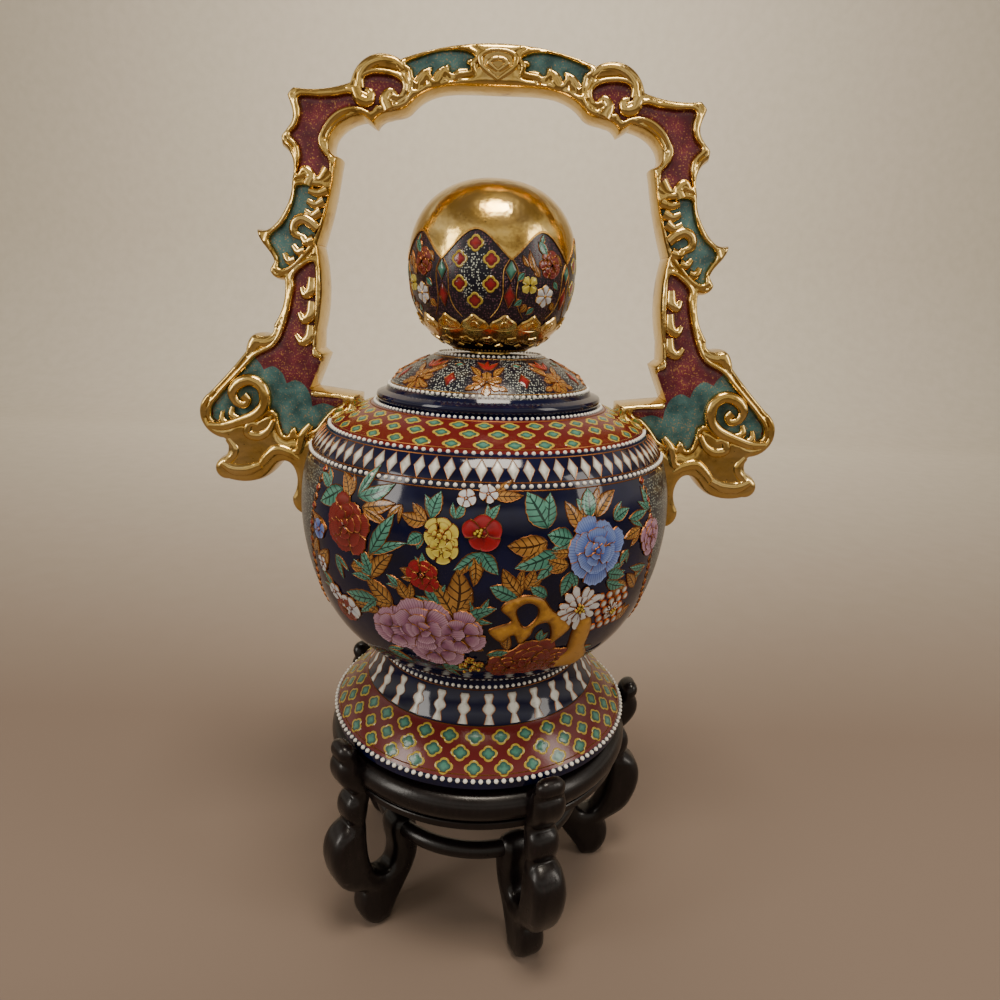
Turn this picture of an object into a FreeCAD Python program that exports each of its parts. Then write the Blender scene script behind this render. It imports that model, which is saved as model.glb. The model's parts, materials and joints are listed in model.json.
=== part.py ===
"""Lidded ceramic vase with an arched overhead handle, on a carved five-legged wooden stand.

Row frame, millimetres: +Z up, the stand's feet on z = 0, the vase's axis on the Z axis, and the arched
handle in the XZ plane.  Front is -Y.  Everything round is a profile of (radius, height) points turned
about Z, and every section of the handle is a flat outline of (x, z) points given a thickness along Y.
"""
import FreeCAD
import Part
import math
import os

from FreeCAD import Vector

# ---- driving dimensions ---------------------------------------------------------------------------
LEG_COUNT = 5
FIRST_LEG_AZIMUTH = 24.0        # degrees from the front, towards +X
LEG_WIDTH = 26.0                # across each leg, along the ring
SEAT_Z = 162.0                  # the flat top of the stand that the vase's foot rests on
RAIL_CENTRE = (112.0, 148.5)    # radius and height of the upper ring's round moulding
RAIL_ROUND = 11.5
RAIL_NECK = 110.0               # radius where the moulding meets the flat top
RAIL_LIP = 119.0                # the thin lip under the moulding
LIP_DROP = 5.5
LIP_WIDTH = 11.0
REBATE = 8.0                    # ledge inside the ring that carries the board
STRETCHER_CENTRE = (84.0, 82.0)
STRETCHER_ROUND = 6.5
BOARD_RADIUS = 100.0
BOARD_THICKNESS = 9.0
DOWEL_RADIUS = 3.0
DOWEL_LENGTH = 52.0
DOWEL_CENTRE = (107.0, 148.0)

FOOT_RADIUS = 119.5
FOOT_RING = (101.0, 109.0)      # the ring the vase stands on, inside its flared rim
RIM_CLEARANCE = 3.5             # the rim hangs this far above the stand
WAIST = (80.0, 226.0)           # where foot and belly are luted together
WALL = 6.0
SHOULDER_EDGE = (131.0, 386.0)  # lower edge of the lozenge band
BAND_EDGE = (117.6, 402.4)      # between the lozenge band and the red band
MOUTH_Z = 420.0
MOUTH_OUTER = 80.0
MOUTH_INNER = 71.0
MOUTH_DEPTH = 8.0               # the straight part of the mouth's bore
FLOOR_RADIUS = 78.0             # the flat floor inside the belly

FLANGE_RADIUS = 82.5
SPIGOT_OUTER = 69.5
SPIGOT_INNER = 64.0
SPIGOT_DEPTH = 12.0
DOME_TOP = (36.0, 454.0)
BALL_RADIUS = 59.5
BALL_CENTRE_Z = 512.5
BALL_HALF_HEIGHT = 58.5
BALL_SQUARENESS = 2.3           # 2 would be an ellipse, more is squarer
BALL_WALL = 5.0
BALL_NECK = 3.5                 # the straight neck that joins the ball to the dome
VENT_RADIUS = 6.0
CUP_TOP_Z = 470.0
CUP_SKIN = 1.5
CUP_RISE = 5.5                  # the cup starts this far above the ball's lowest point
CUP_BITE = 1.0                  # it starts this far inside the ball, which then trims it

HANDLE_THICKNESS = {"bridge": 26.0, "corner": 29.0, "side": 31.0, "leg": 34.0, "shoulder": 38.0,
                    "bracket": 34.0}
VOLUTE_CENTRE = (181.0, 411.0)
VOLUTE_RADIUS = 17.0
VOLUTE_RAISE = 3.5

OUT = "parts"


# ---- helpers --------------------------------------------------------------------------------------
def edge(points):
    """A line through two points, an arc through three, or a smooth curve through more."""
    places = [Vector(a, 0, b) for a, b in points]
    if len(places) == 2:
        return Part.LineSegment(*places).toShape()
    if len(places) == 3:
        return Part.Arc(*places).toShape()
    curve = Part.BSplineCurve()
    curve.interpolate(places)
    return curve.toShape()


def face(stretches):
    """A flat face in the XZ plane. Each stretch of its outline starts where the last one ended."""
    return Part.Face(Part.Wire([edge(points) for points in stretches]))


def turned(stretches):
    """A solid of revolution from an outline of (radius, height) points."""
    return face(stretches).revolve(Vector(0, 0, 0), Vector(0, 0, 1), 360)


def plate(stretches, thickness):
    """An outline in the XZ plane, given a thickness half in front and half behind."""
    flat = face(stretches)
    flat.translate(Vector(0, -thickness / 2, 0))
    return flat.extrude(Vector(0, thickness, 0))


def mirrored(shape):
    """The same shape on the other side of the YZ plane."""
    return shape.mirror(Vector(0, 0, 0), Vector(1, 0, 0))


def inset(points, depth):
    """The points of a wall's outside moved inwards, square to the wall, by its thickness."""
    moved = []
    for i, (r, z) in enumerate(points):
        before = points[max(i - 1, 0)]
        after = points[min(i + 1, len(points) - 1)]
        dr, dz = after[0] - before[0], after[1] - before[1]
        length = math.hypot(dr, dz)
        moved.append((r - depth * dz / length, z + depth * dr / length))
    return moved


def at_azimuth(shape, degrees):
    """A copy of something built along +X, turned to an azimuth measured from the front."""
    copy = shape.copy()
    copy.rotate(Vector(0, 0, 0), Vector(0, 0, 1), degrees - 90)
    return copy


def leg_azimuths():
    return [FIRST_LEG_AZIMUTH + 360 / LEG_COUNT * i for i in range(LEG_COUNT)]


def save(name, shape):
    if not shape.isValid():
        raise ValueError(name + " is not a valid shape")
    solid = shape.Solids[0] if len(shape.Solids) == 1 else Part.Compound(shape.Solids)
    solid.exportStep(os.path.join(OUT, name + ".step"))
    print("%-24s %d solid(s) %9.0f mm3" % (name, len(shape.Solids), shape.Volume))


# ---- the stand ------------------------------------------------------------------------------------
def leg_outline():
    """One leg from the side: crest, knob, collar, hanging knee, toe, and the inner strap."""
    inner_lip = BOARD_RADIUS - REBATE
    ledge = SEAT_Z - BOARD_THICKNESS
    return [
        [(BOARD_RADIUS, SEAT_Z), (121.5, SEAT_Z)],
        [(121.5, SEAT_Z), (123, 170), (128, 176.5), (134, 177), (137.5, 171), (135, 165)],
        [(135, 165), (138.5, 157), (136.5, 147), (129, 136)],
        [(129, 136), (126.5, 132)],
        [(126.5, 132), (133, 124), (133.5, 115), (130.5, 107)],
        [(130.5, 107), (138, 103), (144.5, 94), (146.5, 81), (143.5, 65), (135, 49), (125, 41), (118, 36)],
        [(118, 36), (121.5, 28), (121.5, 15), (116.5, 5), (110, 0)],
        [(110, 0), (97, 0)],
        [(97, 0), (90, 13), (79, 29), (71.5, 45), (69, 62), (72.5, 83), (82, 92), (91.5, 87), (93, 73),
         (91, 59), (96, 47), (104, 47), (112, 59), (116, 78), (116.5, 103), (113.5, 124)],
        [(113.5, 124), (110, 132)],
        [(110, 132), (102, 136), (inner_lip, 140)],
        [(inner_lip, 140), (inner_lip, ledge)],
        [(inner_lip, ledge), (BOARD_RADIUS, ledge)],
        [(BOARD_RADIUS, ledge), (BOARD_RADIUS, SEAT_Z)],
    ]


def rail_outline():
    """The upper ring in section: flat top, round moulding, thin lip, and a rebate for the board."""
    r, z = RAIL_CENTRE
    inner_lip = BOARD_RADIUS - REBATE
    ledge = SEAT_Z - BOARD_THICKNESS
    neck_z = z + math.sqrt(RAIL_ROUND ** 2 - (r - RAIL_NECK) ** 2)
    under = z - RAIL_ROUND
    lip_z = under - LIP_DROP
    lip_inner = RAIL_LIP - LIP_WIDTH
    return [
        [(inner_lip, under), (inner_lip, ledge)],
        [(inner_lip, ledge), (BOARD_RADIUS, ledge)],
        [(BOARD_RADIUS, ledge), (BOARD_RADIUS, SEAT_Z)],
        [(BOARD_RADIUS, SEAT_Z), (RAIL_NECK, SEAT_Z)],
        [(RAIL_NECK, SEAT_Z), (RAIL_NECK, neck_z)],
        [(RAIL_NECK, neck_z), (r + RAIL_ROUND, z), (r, under)],
        [(r, under), (RAIL_LIP, under)],
        [(RAIL_LIP, under), (RAIL_LIP, lip_z)],
        [(RAIL_LIP, lip_z), (lip_inner, lip_z)],
        [(lip_inner, lip_z), (lip_inner, under)],
        [(lip_inner, under), (inner_lip, under)],
    ]


def along_leg_dowel(centre, radius, length):
    """A dowel through a leg on +X, lying square to the leg's sides."""
    r, z = centre
    return Part.makeCylinder(radius, length, Vector(r, -length / 2, z), Vector(0, 1, 0))


def stand_parts():
    slab = Part.makeBox(200, LEG_WIDTH, 250, Vector(0, -LEG_WIDTH / 2, -20))
    slabs = [at_azimuth(slab, a) for a in leg_azimuths()]
    rail_dowel = along_leg_dowel(DOWEL_CENTRE, DOWEL_RADIUS, DOWEL_LENGTH)
    stretcher_dowel = along_leg_dowel(STRETCHER_CENTRE, DOWEL_RADIUS, DOWEL_LENGTH)
    rail_dowels = [at_azimuth(rail_dowel, a) for a in leg_azimuths()]
    stretcher_dowels = [at_azimuth(stretcher_dowel, a) for a in leg_azimuths()]

    leg = plate(leg_outline(), LEG_WIDTH).cut([rail_dowel, stretcher_dowel])
    for i, azimuth in enumerate(leg_azimuths()):
        save("stand_leg_%d" % (i + 1), at_azimuth(leg, azimuth))

    ring = turned(rail_outline()).cut(slabs + rail_dowels)
    save_in_order("stand_rail_%d", ring)
    r, z = STRETCHER_CENTRE
    hoop = Part.makeTorus(r, STRETCHER_ROUND, Vector(0, 0, z)).cut(slabs + stretcher_dowels)
    save_in_order("stand_stretcher_%d", hoop)

    board = Part.makeCylinder(BOARD_RADIUS, BOARD_THICKNESS, Vector(0, 0, SEAT_Z - BOARD_THICKNESS))
    save("stand_board", board)
    save("stand_rail_dowels", Part.Compound(rail_dowels))
    save("stand_stretcher_dowels", Part.Compound(stretcher_dowels))


def save_in_order(pattern, ring):
    """Numbers the pieces of a cut ring by their azimuth, starting just past the first leg."""
    def turn_from_first_leg(solid):
        centre = solid.CenterOfMass
        return (math.degrees(math.atan2(centre.x, -centre.y)) - FIRST_LEG_AZIMUTH) % 360
    for i, solid in enumerate(sorted(ring.Solids, key=turn_from_first_leg)):
        save(pattern % (i + 1), solid)


# ---- the vase -------------------------------------------------------------------------------------
BELLY_SIDE = [WAIST, (97, 238.5), (111, 252), (122, 269), (132, 294), (137.5, 320), (139, 343),
              (136.5, 368), SHOULDER_EDGE]
LOZENGE_BAND = [SHOULDER_EDGE, (125.5, 395), BAND_EDGE]
RED_BAND = [BAND_EDGE, (102.5, 411), (86, 417.5)]


def belly_core():
    """The belly's outside filled solid, which the handle is fitted against."""
    return turned([
        [(0, WAIST[1]), WAIST], BELLY_SIDE, LOZENGE_BAND, RED_BAND,
        [RED_BAND[-1], (MOUTH_OUTER, MOUTH_Z)],
        [(MOUTH_OUTER, MOUTH_Z), (0, MOUTH_Z)],
        [(0, MOUTH_Z), (0, WAIST[1])],
    ])


def belly():
    floor = WAIST[1] + WALL
    inside = inset(BELLY_SIDE, WALL)[1:]
    shoulder = inset(LOZENGE_BAND + RED_BAND[1:], WALL)[1:-1]
    return turned([
        [(0, WAIST[1]), WAIST], BELLY_SIDE, LOZENGE_BAND, RED_BAND,
        [RED_BAND[-1], (MOUTH_OUTER, MOUTH_Z)],
        [(MOUTH_OUTER, MOUTH_Z), (MOUTH_INNER, MOUTH_Z)],
        [(MOUTH_INNER, MOUTH_Z), (MOUTH_INNER, MOUTH_Z - MOUTH_DEPTH)],
        [(MOUTH_INNER, MOUTH_Z - MOUTH_DEPTH)] + shoulder[::-1] + [inside[-1]],
        inside[::-1] + [(FLOOR_RADIUS, floor)],
        [(FLOOR_RADIUS, floor), (0, floor)],
        [(0, floor), (0, WAIST[1])],
    ])


def foot():
    """The flared foot: standing ring, overhanging rim, red band and the steeper blue band."""
    ring_inner, ring_outer = FOOT_RING
    rim_z = SEAT_Z + RIM_CLEARANCE
    red = [(FOOT_RADIUS - 1.5, 173.5), (107, 186.5), (93.5, 198)]
    blue = [red[-1], (85, 211), WAIST]
    inner_waist = WAIST[0] - WALL - 1
    return turned([
        [(ring_inner, SEAT_Z), (ring_outer, SEAT_Z)],
        [(ring_outer, SEAT_Z), (ring_outer + 1, rim_z)],
        [(ring_outer + 1, rim_z), (FOOT_RADIUS - 1, rim_z)],
        [(FOOT_RADIUS - 1, rim_z), (FOOT_RADIUS, rim_z + 1)],
        [(FOOT_RADIUS, rim_z + 1), (FOOT_RADIUS, 171)],
        [(FOOT_RADIUS, 171), red[0]],
        red, blue,
        [WAIST, (inner_waist, WAIST[1])],
        [(inner_waist, WAIST[1]), (78, 209), (87, 192)],
        [(87, 192), (95, 181), (ring_inner, 172)],
        [(ring_inner, 172), (ring_inner, SEAT_Z)],
    ])


# ---- the handle -----------------------------------------------------------------------------------
# Joints between the sections, as (x, z) on the +X side.
BRIDGE_END_TOP, BRIDGE_END_UNDER = (64, 640), (57, 614)
CORNER_END_OUT, CORNER_END_IN = (138, 565), (108, 574)
SIDE_END_OUT, SIDE_END_IN = (146, 502), (122, 524)
LEG_END_OUT, LEG_END_IN = (155, 469), (124, 466)
BRACKET_TOP_OUT = (197, 385)
INSIDE_BELLY = (116, 386)       # an end that the belly trims away
BRACKET_TIP = (141, 328)


def bridge_outline():
    left = [(-x, z) for x, z in (BRIDGE_END_TOP, BRIDGE_END_UNDER)]
    return [
        [left[0], (0, 651), BRIDGE_END_TOP],
        [BRIDGE_END_TOP, BRIDGE_END_UNDER],
        [BRIDGE_END_UNDER, (42, 623), (20, 625.5), (0, 625.5), (-20, 625.5), (-42, 623), left[1]],
        [left[1], left[0]],
    ]


def corner_outline():
    return [
        [BRIDGE_END_TOP, (82, 642), (97, 625.5)],
        [(97, 625.5), (114, 621.5), (135, 621.5)],
        [(135, 621.5), (139, 617)],
        [(139, 617), (136.5, 610), (136, 603), (139.5, 597), (144, 592)],
        [(144, 592), (143.5, 587)],
        [(143.5, 587), (138.5, 582), (136.5, 575), CORNER_END_OUT],
        [CORNER_END_OUT, CORNER_END_IN],
        [CORNER_END_IN, (106.5, 580)],
        [(106.5, 580), (112, 585.5), (111, 592), (105, 599.5), (97, 604), (89, 606)],
        [(89, 606), (82, 601.5)],
        [(82, 601.5), (76, 607), (67, 609), BRIDGE_END_UNDER],
        [BRIDGE_END_UNDER, BRIDGE_END_TOP],
    ]


def side_outline():
    return [
        [CORNER_END_OUT, (139.5, 555), (144, 545.5), (151, 536.5), (157, 532.5), (163.5, 532.5)],
        [(163.5, 532.5), (161, 525), (155.5, 518), (152.5, 512)],
        [(152.5, 512), (156, 506.5)],
        [(156, 506.5), (152.5, 501.5), SIDE_END_OUT],
        [SIDE_END_OUT, SIDE_END_IN],
        [SIDE_END_IN, (115, 545), CORNER_END_IN],
        [CORNER_END_IN, CORNER_END_OUT],
    ]


def handle_leg_outline():
    return [
        [SIDE_END_OUT, (147.5, 484), LEG_END_OUT],
        [LEG_END_OUT, LEG_END_IN],
        [LEG_END_IN, (119.5, 495), SIDE_END_IN],
        [SIDE_END_IN, SIDE_END_OUT],
    ]


def shoulder_joint():
    """The line between the painted shoulder and the gilt bracket below it."""
    return [INSIDE_BELLY, (140, 392), (160, 401), (178, 392), BRACKET_TOP_OUT]


def shoulder_outline():
    return [
        [LEG_END_OUT, (158, 462), (164, 461), (170, 461.5), (174, 457), (176, 450)],
        [(176, 450), (192, 432), (205, 419)],
        [(205, 419), (213.5, 403), BRACKET_TOP_OUT],
        shoulder_joint()[::-1],
        [INSIDE_BELLY, (97, 400)],
        [(97, 400), (97, 420)],
        [(97, 420), (131, 424)],
        [(131, 424), (120, 449)],
        [(120, 449), (125, 453)],
        [(125, 453), LEG_END_IN],
        [LEG_END_IN, LEG_END_OUT],
    ]


def bracket_outline():
    return [
        [BRACKET_TOP_OUT, (194.5, 378), (201, 369)],
        [(201, 369), (205.5, 361), (196, 353.5)],
        [(196, 353.5), (188, 352), (178, 352.5), (169, 356), (162, 363), (156, 368.5), (150, 368.5),
         (145, 362), (144, 352), (148, 341)],
        [(148, 341), (147, 334), BRACKET_TIP],
        [BRACKET_TIP, (128, 328)],
        [(128, 328), INSIDE_BELLY],
        shoulder_joint(),
    ]


def handle_parts():
    save("handle_bridge", plate(bridge_outline(), HANDLE_THICKNESS["bridge"]))
    core = belly_core()
    sections = {"corner": corner_outline(), "side": side_outline(), "leg": handle_leg_outline(),
                "shoulder": shoulder_outline(), "bracket": bracket_outline()}
    for name, stretches in sections.items():
        right = plate(stretches, HANDLE_THICKNESS[name])
        if name in ("shoulder", "bracket"):
            right = right.cut(core)
        save("handle_%s_right" % name, right)
        save("handle_%s_left" % name, mirrored(right))


def volutes():
    """Spiral sprigs luted on both faces of both shoulders, here as plain round bosses."""
    x, z = VOLUTE_CENTRE
    y = HANDLE_THICKNESS["shoulder"] / 2
    front = Part.makeCone(VOLUTE_RADIUS, VOLUTE_RADIUS - 5, VOLUTE_RAISE, Vector(x, -y, z), Vector(0, -1, 0))
    back = Part.makeCone(VOLUTE_RADIUS, VOLUTE_RADIUS - 5, VOLUTE_RAISE, Vector(x, y, z), Vector(0, 1, 0))
    return Part.Compound([front, back, mirrored(front), mirrored(back)])


# ---- the lid --------------------------------------------------------------------------------------
def ball_radius_at(z, grow=0.0):
    """The finial ball's outside: a squared-off ellipse."""
    share = abs(z - BALL_CENTRE_Z) / (BALL_HALF_HEIGHT + grow)
    return (BALL_RADIUS + grow) * max(0.0, 1 - share ** BALL_SQUARENESS) ** (1 / BALL_SQUARENESS)


def ball_side(z_from, z_to, count, grow=0.0):
    """Points up the ball's side, closer together near the top."""
    turn_from = math.acos((z_from - BALL_CENTRE_Z) / (BALL_HALF_HEIGHT + grow))
    turn_to = math.acos((z_to - BALL_CENTRE_Z) / (BALL_HALF_HEIGHT + grow))
    points = []
    for i in range(count):
        turn = turn_from + (turn_to - turn_from) * i / (count - 1)
        z = BALL_CENTRE_Z + (BALL_HALF_HEIGHT + grow) * math.cos(turn)
        points.append((ball_radius_at(z, grow), z))
    return points


def lid_cover():
    dome = [(75.5, 429), (67, 438), (56, 445.5), (45, 450.5), DOME_TOP]
    under = [(SPIGOT_INNER, 427), (56, 436.5), (45, 443.5), (32, 447), (VENT_RADIUS, 448.5)]
    return turned([
        [(SPIGOT_INNER, MOUTH_Z - SPIGOT_DEPTH), (SPIGOT_OUTER, MOUTH_Z - SPIGOT_DEPTH)],
        [(SPIGOT_OUTER, MOUTH_Z - SPIGOT_DEPTH), (SPIGOT_OUTER, MOUTH_Z)],
        [(SPIGOT_OUTER, MOUTH_Z), (FLANGE_RADIUS, MOUTH_Z)],
        [(FLANGE_RADIUS, MOUTH_Z), (FLANGE_RADIUS + 0.8, MOUTH_Z + 2.5), (FLANGE_RADIUS, MOUTH_Z + 5)],
        [(FLANGE_RADIUS, MOUTH_Z + 5), (77, 427), dome[0]],
        dome,
        [DOME_TOP, (VENT_RADIUS, DOME_TOP[1])],
        [(VENT_RADIUS, DOME_TOP[1]), under[-1]],
        under[::-1],
        [under[0], (SPIGOT_INNER, MOUTH_Z - SPIGOT_DEPTH)],
    ])


def finial_ball():
    base_z = DOME_TOP[1]
    pole = BALL_CENTRE_Z + BALL_HALF_HEIGHT
    inner_base = base_z + BALL_WALL
    neck = ball_radius_at(base_z + BALL_NECK)
    outside = ball_side(base_z + BALL_NECK, pole, 11)
    outside[-1] = (0, pole)
    inside = ball_side(inner_base + 2, pole - BALL_WALL, 9, -BALL_WALL)
    inside[-1] = (0, pole - BALL_WALL)
    return turned([
        [(VENT_RADIUS, base_z), (neck, base_z)],
        [(neck, base_z), outside[0]],
        outside,
        [outside[-1], inside[-1]],
        inside[::-1],
        [inside[0], (VENT_RADIUS, inner_base)],
        [(VENT_RADIUS, inner_base), (VENT_RADIUS, base_z)],
    ])


def petal_cup():
    """A gilt calyx that the ball sits in: a thin skin up its lower side."""
    low = BALL_CENTRE_Z - BALL_HALF_HEIGHT + CUP_RISE
    inside = ball_side(low, CUP_TOP_Z, 5)
    outside = [(r + CUP_SKIN, z - 0.4) for r, z in inside]
    core = finial_ball()
    skin = turned([
        [inside[0], outside[0]],
        outside,
        [outside[-1], (inside[-1][0] - CUP_BITE, inside[-1][1] + 0.3)],
        [(inside[-1][0] - CUP_BITE, inside[-1][1] + 0.3), (inside[0][0] - CUP_BITE, inside[0][1])],
        [(inside[0][0] - CUP_BITE, inside[0][1]), inside[0]],
    ])
    return skin.cut(core)


def main():
    os.makedirs(OUT, exist_ok=True)
    stand_parts()
    save("vase_belly", belly())
    save("vase_foot", foot())
    handle_parts()
    save("handle_volutes", volutes())
    save("lid_cover", lid_cover())
    save("finial_ball", finial_ball())
    save("finial_petal_cup", petal_cup())


main()
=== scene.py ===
# %% [markdown]
# # A lidded vase in raised enamel and bright gold, on a carved stand
#
# The object is a pot-bellied ceramic vase, about 65 cm high with its stand. A tall gilt handle arches
# over a domed lid that carries a gilt ball. Nearly every surface is painted: flowers, leaves and
# borders are piped on as raised outlines of slip, filled with coloured enamel and fired again.
# The vase stands on a five-legged stand of dark carved wood.
#
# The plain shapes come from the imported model, which is the frame for everything here. Each cell below
# adds one layer of the real maker's work: turned walls, then the borders, the flowers, the moulded
# handle and the carved wood. Lengths are written in millimetres and turned to metres in one place.

import json
import math
import random

import bpy
import bmesh
import numpy as np
from mathutils import Matrix, Vector, geometry

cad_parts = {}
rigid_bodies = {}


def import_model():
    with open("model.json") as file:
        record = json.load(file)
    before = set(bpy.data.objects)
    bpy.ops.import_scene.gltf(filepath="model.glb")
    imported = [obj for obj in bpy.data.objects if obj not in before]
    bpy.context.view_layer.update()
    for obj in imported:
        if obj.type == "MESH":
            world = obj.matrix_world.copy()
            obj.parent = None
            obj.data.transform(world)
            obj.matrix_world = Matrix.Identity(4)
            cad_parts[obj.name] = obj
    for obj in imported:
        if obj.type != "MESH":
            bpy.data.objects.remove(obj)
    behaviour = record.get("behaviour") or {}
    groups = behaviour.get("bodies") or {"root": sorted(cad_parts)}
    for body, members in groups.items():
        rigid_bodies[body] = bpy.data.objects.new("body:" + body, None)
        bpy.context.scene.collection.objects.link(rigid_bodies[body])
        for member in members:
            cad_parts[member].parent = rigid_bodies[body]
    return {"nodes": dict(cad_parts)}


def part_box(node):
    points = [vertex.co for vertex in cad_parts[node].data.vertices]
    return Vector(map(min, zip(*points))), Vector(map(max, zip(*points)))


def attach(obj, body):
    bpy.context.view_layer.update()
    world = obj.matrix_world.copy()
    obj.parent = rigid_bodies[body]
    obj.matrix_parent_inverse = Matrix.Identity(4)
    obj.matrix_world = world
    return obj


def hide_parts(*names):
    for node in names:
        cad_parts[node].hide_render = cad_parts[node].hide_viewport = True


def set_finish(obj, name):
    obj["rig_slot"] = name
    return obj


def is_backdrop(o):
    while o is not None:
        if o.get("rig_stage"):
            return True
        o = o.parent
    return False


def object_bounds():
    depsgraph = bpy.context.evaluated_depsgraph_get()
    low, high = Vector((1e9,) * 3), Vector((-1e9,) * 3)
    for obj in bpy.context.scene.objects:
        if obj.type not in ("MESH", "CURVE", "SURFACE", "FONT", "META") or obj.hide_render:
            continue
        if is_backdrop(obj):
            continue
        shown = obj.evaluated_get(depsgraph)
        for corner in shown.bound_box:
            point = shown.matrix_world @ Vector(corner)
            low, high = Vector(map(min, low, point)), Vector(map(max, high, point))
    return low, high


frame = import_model()
cad_low, cad_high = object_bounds()
MM = 0.001
print("CAD box in mm:", [round(v / MM) for v in cad_high - cad_low])

# %% [markdown]
# ## How the surfaces are written down
#
# A turned wall is known from its profile, a line of (radius, height) points. An ornament on it is
# placed by azimuth, in degrees from the front towards +X, and by height. The distance measured along
# the profile keeps a flower's shape where the wall slopes, which a flat projection would stretch.

# %% Lines through points
def arc_line(start, middle, end, count=10):
    """Points on the circular arc through three points."""
    (ax, ay), (bx, by), (cx, cy) = start, middle, end
    d = 2 * (ax * (by - cy) + bx * (cy - ay) + cx * (ay - by))
    a, b, c = ax**2 + ay**2, bx**2 + by**2, cx**2 + cy**2
    ux = (a * (by - cy) + b * (cy - ay) + c * (ay - by)) / d
    uy = (a * (cx - bx) + b * (ax - cx) + c * (bx - ax)) / d
    first = math.atan2(ay - uy, ax - ux)
    sweep = (math.atan2(cy - uy, cx - ux) - first + math.pi) % (2 * math.pi) - math.pi
    radius = math.hypot(ax - ux, ay - uy)
    turns = [first + sweep * i / count for i in range(count + 1)]
    return [(ux + radius * math.cos(t), uy + radius * math.sin(t)) for t in turns]


def curve_line(points, steps=6, closed=False):
    """A smooth line through points: a centripetal Catmull-Rom curve."""
    p = [np.array(q, float) for q in points]
    if closed:
        p = [p[-1]] + p + [p[0], p[1]]
    else:
        p = [2 * p[0] - p[1]] + p + [2 * p[-1] - p[-2]]
    line = []
    for a, b, c, d in zip(p, p[1:], p[2:], p[3:]):
        t1, t2, t3 = (math.sqrt(max(np.linalg.norm(v), 1e-9)) for v in (b - a, c - b, d - c))
        out = ((b - a) / t1 - (c - a) / (t1 + t2) + (c - b) / t2) * t2
        into = ((c - b) / t2 - (d - b) / (t2 + t3) + (d - c) / t3) * t2
        for i in range(steps):
            s = i / steps
            line.append((2 * s**3 - 3 * s**2 + 1) * b + (s**3 - 2 * s**2 + s) * out
                        + (-2 * s**3 + 3 * s**2) * c + (s**3 - s**2) * into)
    if not closed:
        line.append(p[-2])
    return [tuple(float(v) for v in q) for q in line]


def grid_faces(rows, columns, closed=False):
    """Four-sided faces of a grid whose rows go up and whose columns go to the right."""
    last = columns if closed else columns - 1
    return [(r * columns + c, r * columns + (c + 1) % columns,
             (r + 1) * columns + (c + 1) % columns, (r + 1) * columns + c)
            for r in range(rows - 1) for c in range(last)]


print("the middle of a quarter circle:", arc_line((1, 0), (0.8, 0.6), (0, 1), 2)[1])

# %% A turned wall, and places on it
class TurnedWall:
    def __init__(self, profile):
        self.r, self.z = np.array(profile, float).T
        self.s = np.concatenate([[0], np.cumsum(np.hypot(np.diff(self.r), np.diff(self.z)))])
        self.dr, self.dz = np.gradient(self.r, self.s), np.gradient(self.z, self.s)

    def along(self, height):
        """The distance up the profile at a height."""
        return np.interp(height, self.z, self.s)

    def radius(self, height):
        return np.interp(height, self.z, self.r)

    def point(self, azimuth, along, lift=0.0):
        """Places on the wall, in metres, lifted off it by so many millimetres."""
        r, z = np.interp(along, self.s, self.r), np.interp(along, self.s, self.z)
        dr, dz = np.interp(along, self.s, self.dr), np.interp(along, self.s, self.dz)
        size = np.hypot(dr, dz)
        r, z = r + lift * dz / size, z - lift * dr / size
        a, r, z = np.broadcast_arrays(np.radians(azimuth), r, z)
        return np.stack([r * np.sin(a), -r * np.cos(a), z], -1) * MM

    def around(self, azimuth, height, flat, lift):
        """Flat (right, up) points in mm round a centre, laid on the wall."""
        flat = np.asarray(flat, float)
        along = self.along(height) + flat[:, 1]
        reach = np.interp(along, self.s, self.r)
        return self.point(azimuth + np.degrees(flat[:, 0] / reach), along, lift)


print("a slope 3 mm across and 4 mm up is", TurnedWall([(0, 0), (3, 4)]).s[-1], "mm long")

# %% A pile of small shapes that becomes one piece
MARKS = ("middle", "along", "across")
WELD = 0.02 * MM      # points closer than this become one


class Pile:
    """Collects shapes into one mesh, with marks that the enamel's nodes read."""
    def __init__(self):
        self.points, self.faces, self.paint, self.marks, self.count = [], [], [], [], 0

    def add(self, points, faces, paint=0, marks=None):
        points = np.asarray(points, float)
        if marks is None:
            marks = np.zeros((len(points), len(MARKS)))
        self.points.append(points)
        self.marks.append(marks)
        self.faces += [tuple(i + self.count for i in f) for f in faces]
        self.paint += [paint] * len(faces) if isinstance(paint, int) else list(paint)
        self.count += len(points)

    def make(self, name, finishes, body, slot, stands_for=(), sharp=50, weld=False):
        mesh = bpy.data.meshes.new(name)
        mesh.from_pydata(np.concatenate(self.points).tolist(), [], self.faces)
        mesh.polygons.foreach_set("material_index", self.paint)
        marks = np.concatenate(self.marks)
        for i, mark in enumerate(MARKS):
            mesh.attributes.new(mark, "FLOAT", "POINT").data.foreach_set("value", marks[:, i])
        if weld:
            made = bmesh.new()
            made.from_mesh(mesh)
            bmesh.ops.remove_doubles(made, verts=made.verts, dist=WELD)
            made.to_mesh(mesh)
            made.free()
        for finish in finishes:
            mesh.materials.append(finish)
        mesh.shade_smooth()
        mesh.set_sharp_from_angle(angle=math.radians(sharp))
        mesh.update()
        piece = bpy.data.objects.new(name, mesh)
        bpy.context.scene.collection.objects.link(piece)
        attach(piece, body)
        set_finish(piece, slot)
        if stands_for:
            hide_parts(*stands_for)
        print("%-26s %6d faces" % (name, len(mesh.polygons)))
        return piece


print("each point of a pile has the marks", MARKS)

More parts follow.
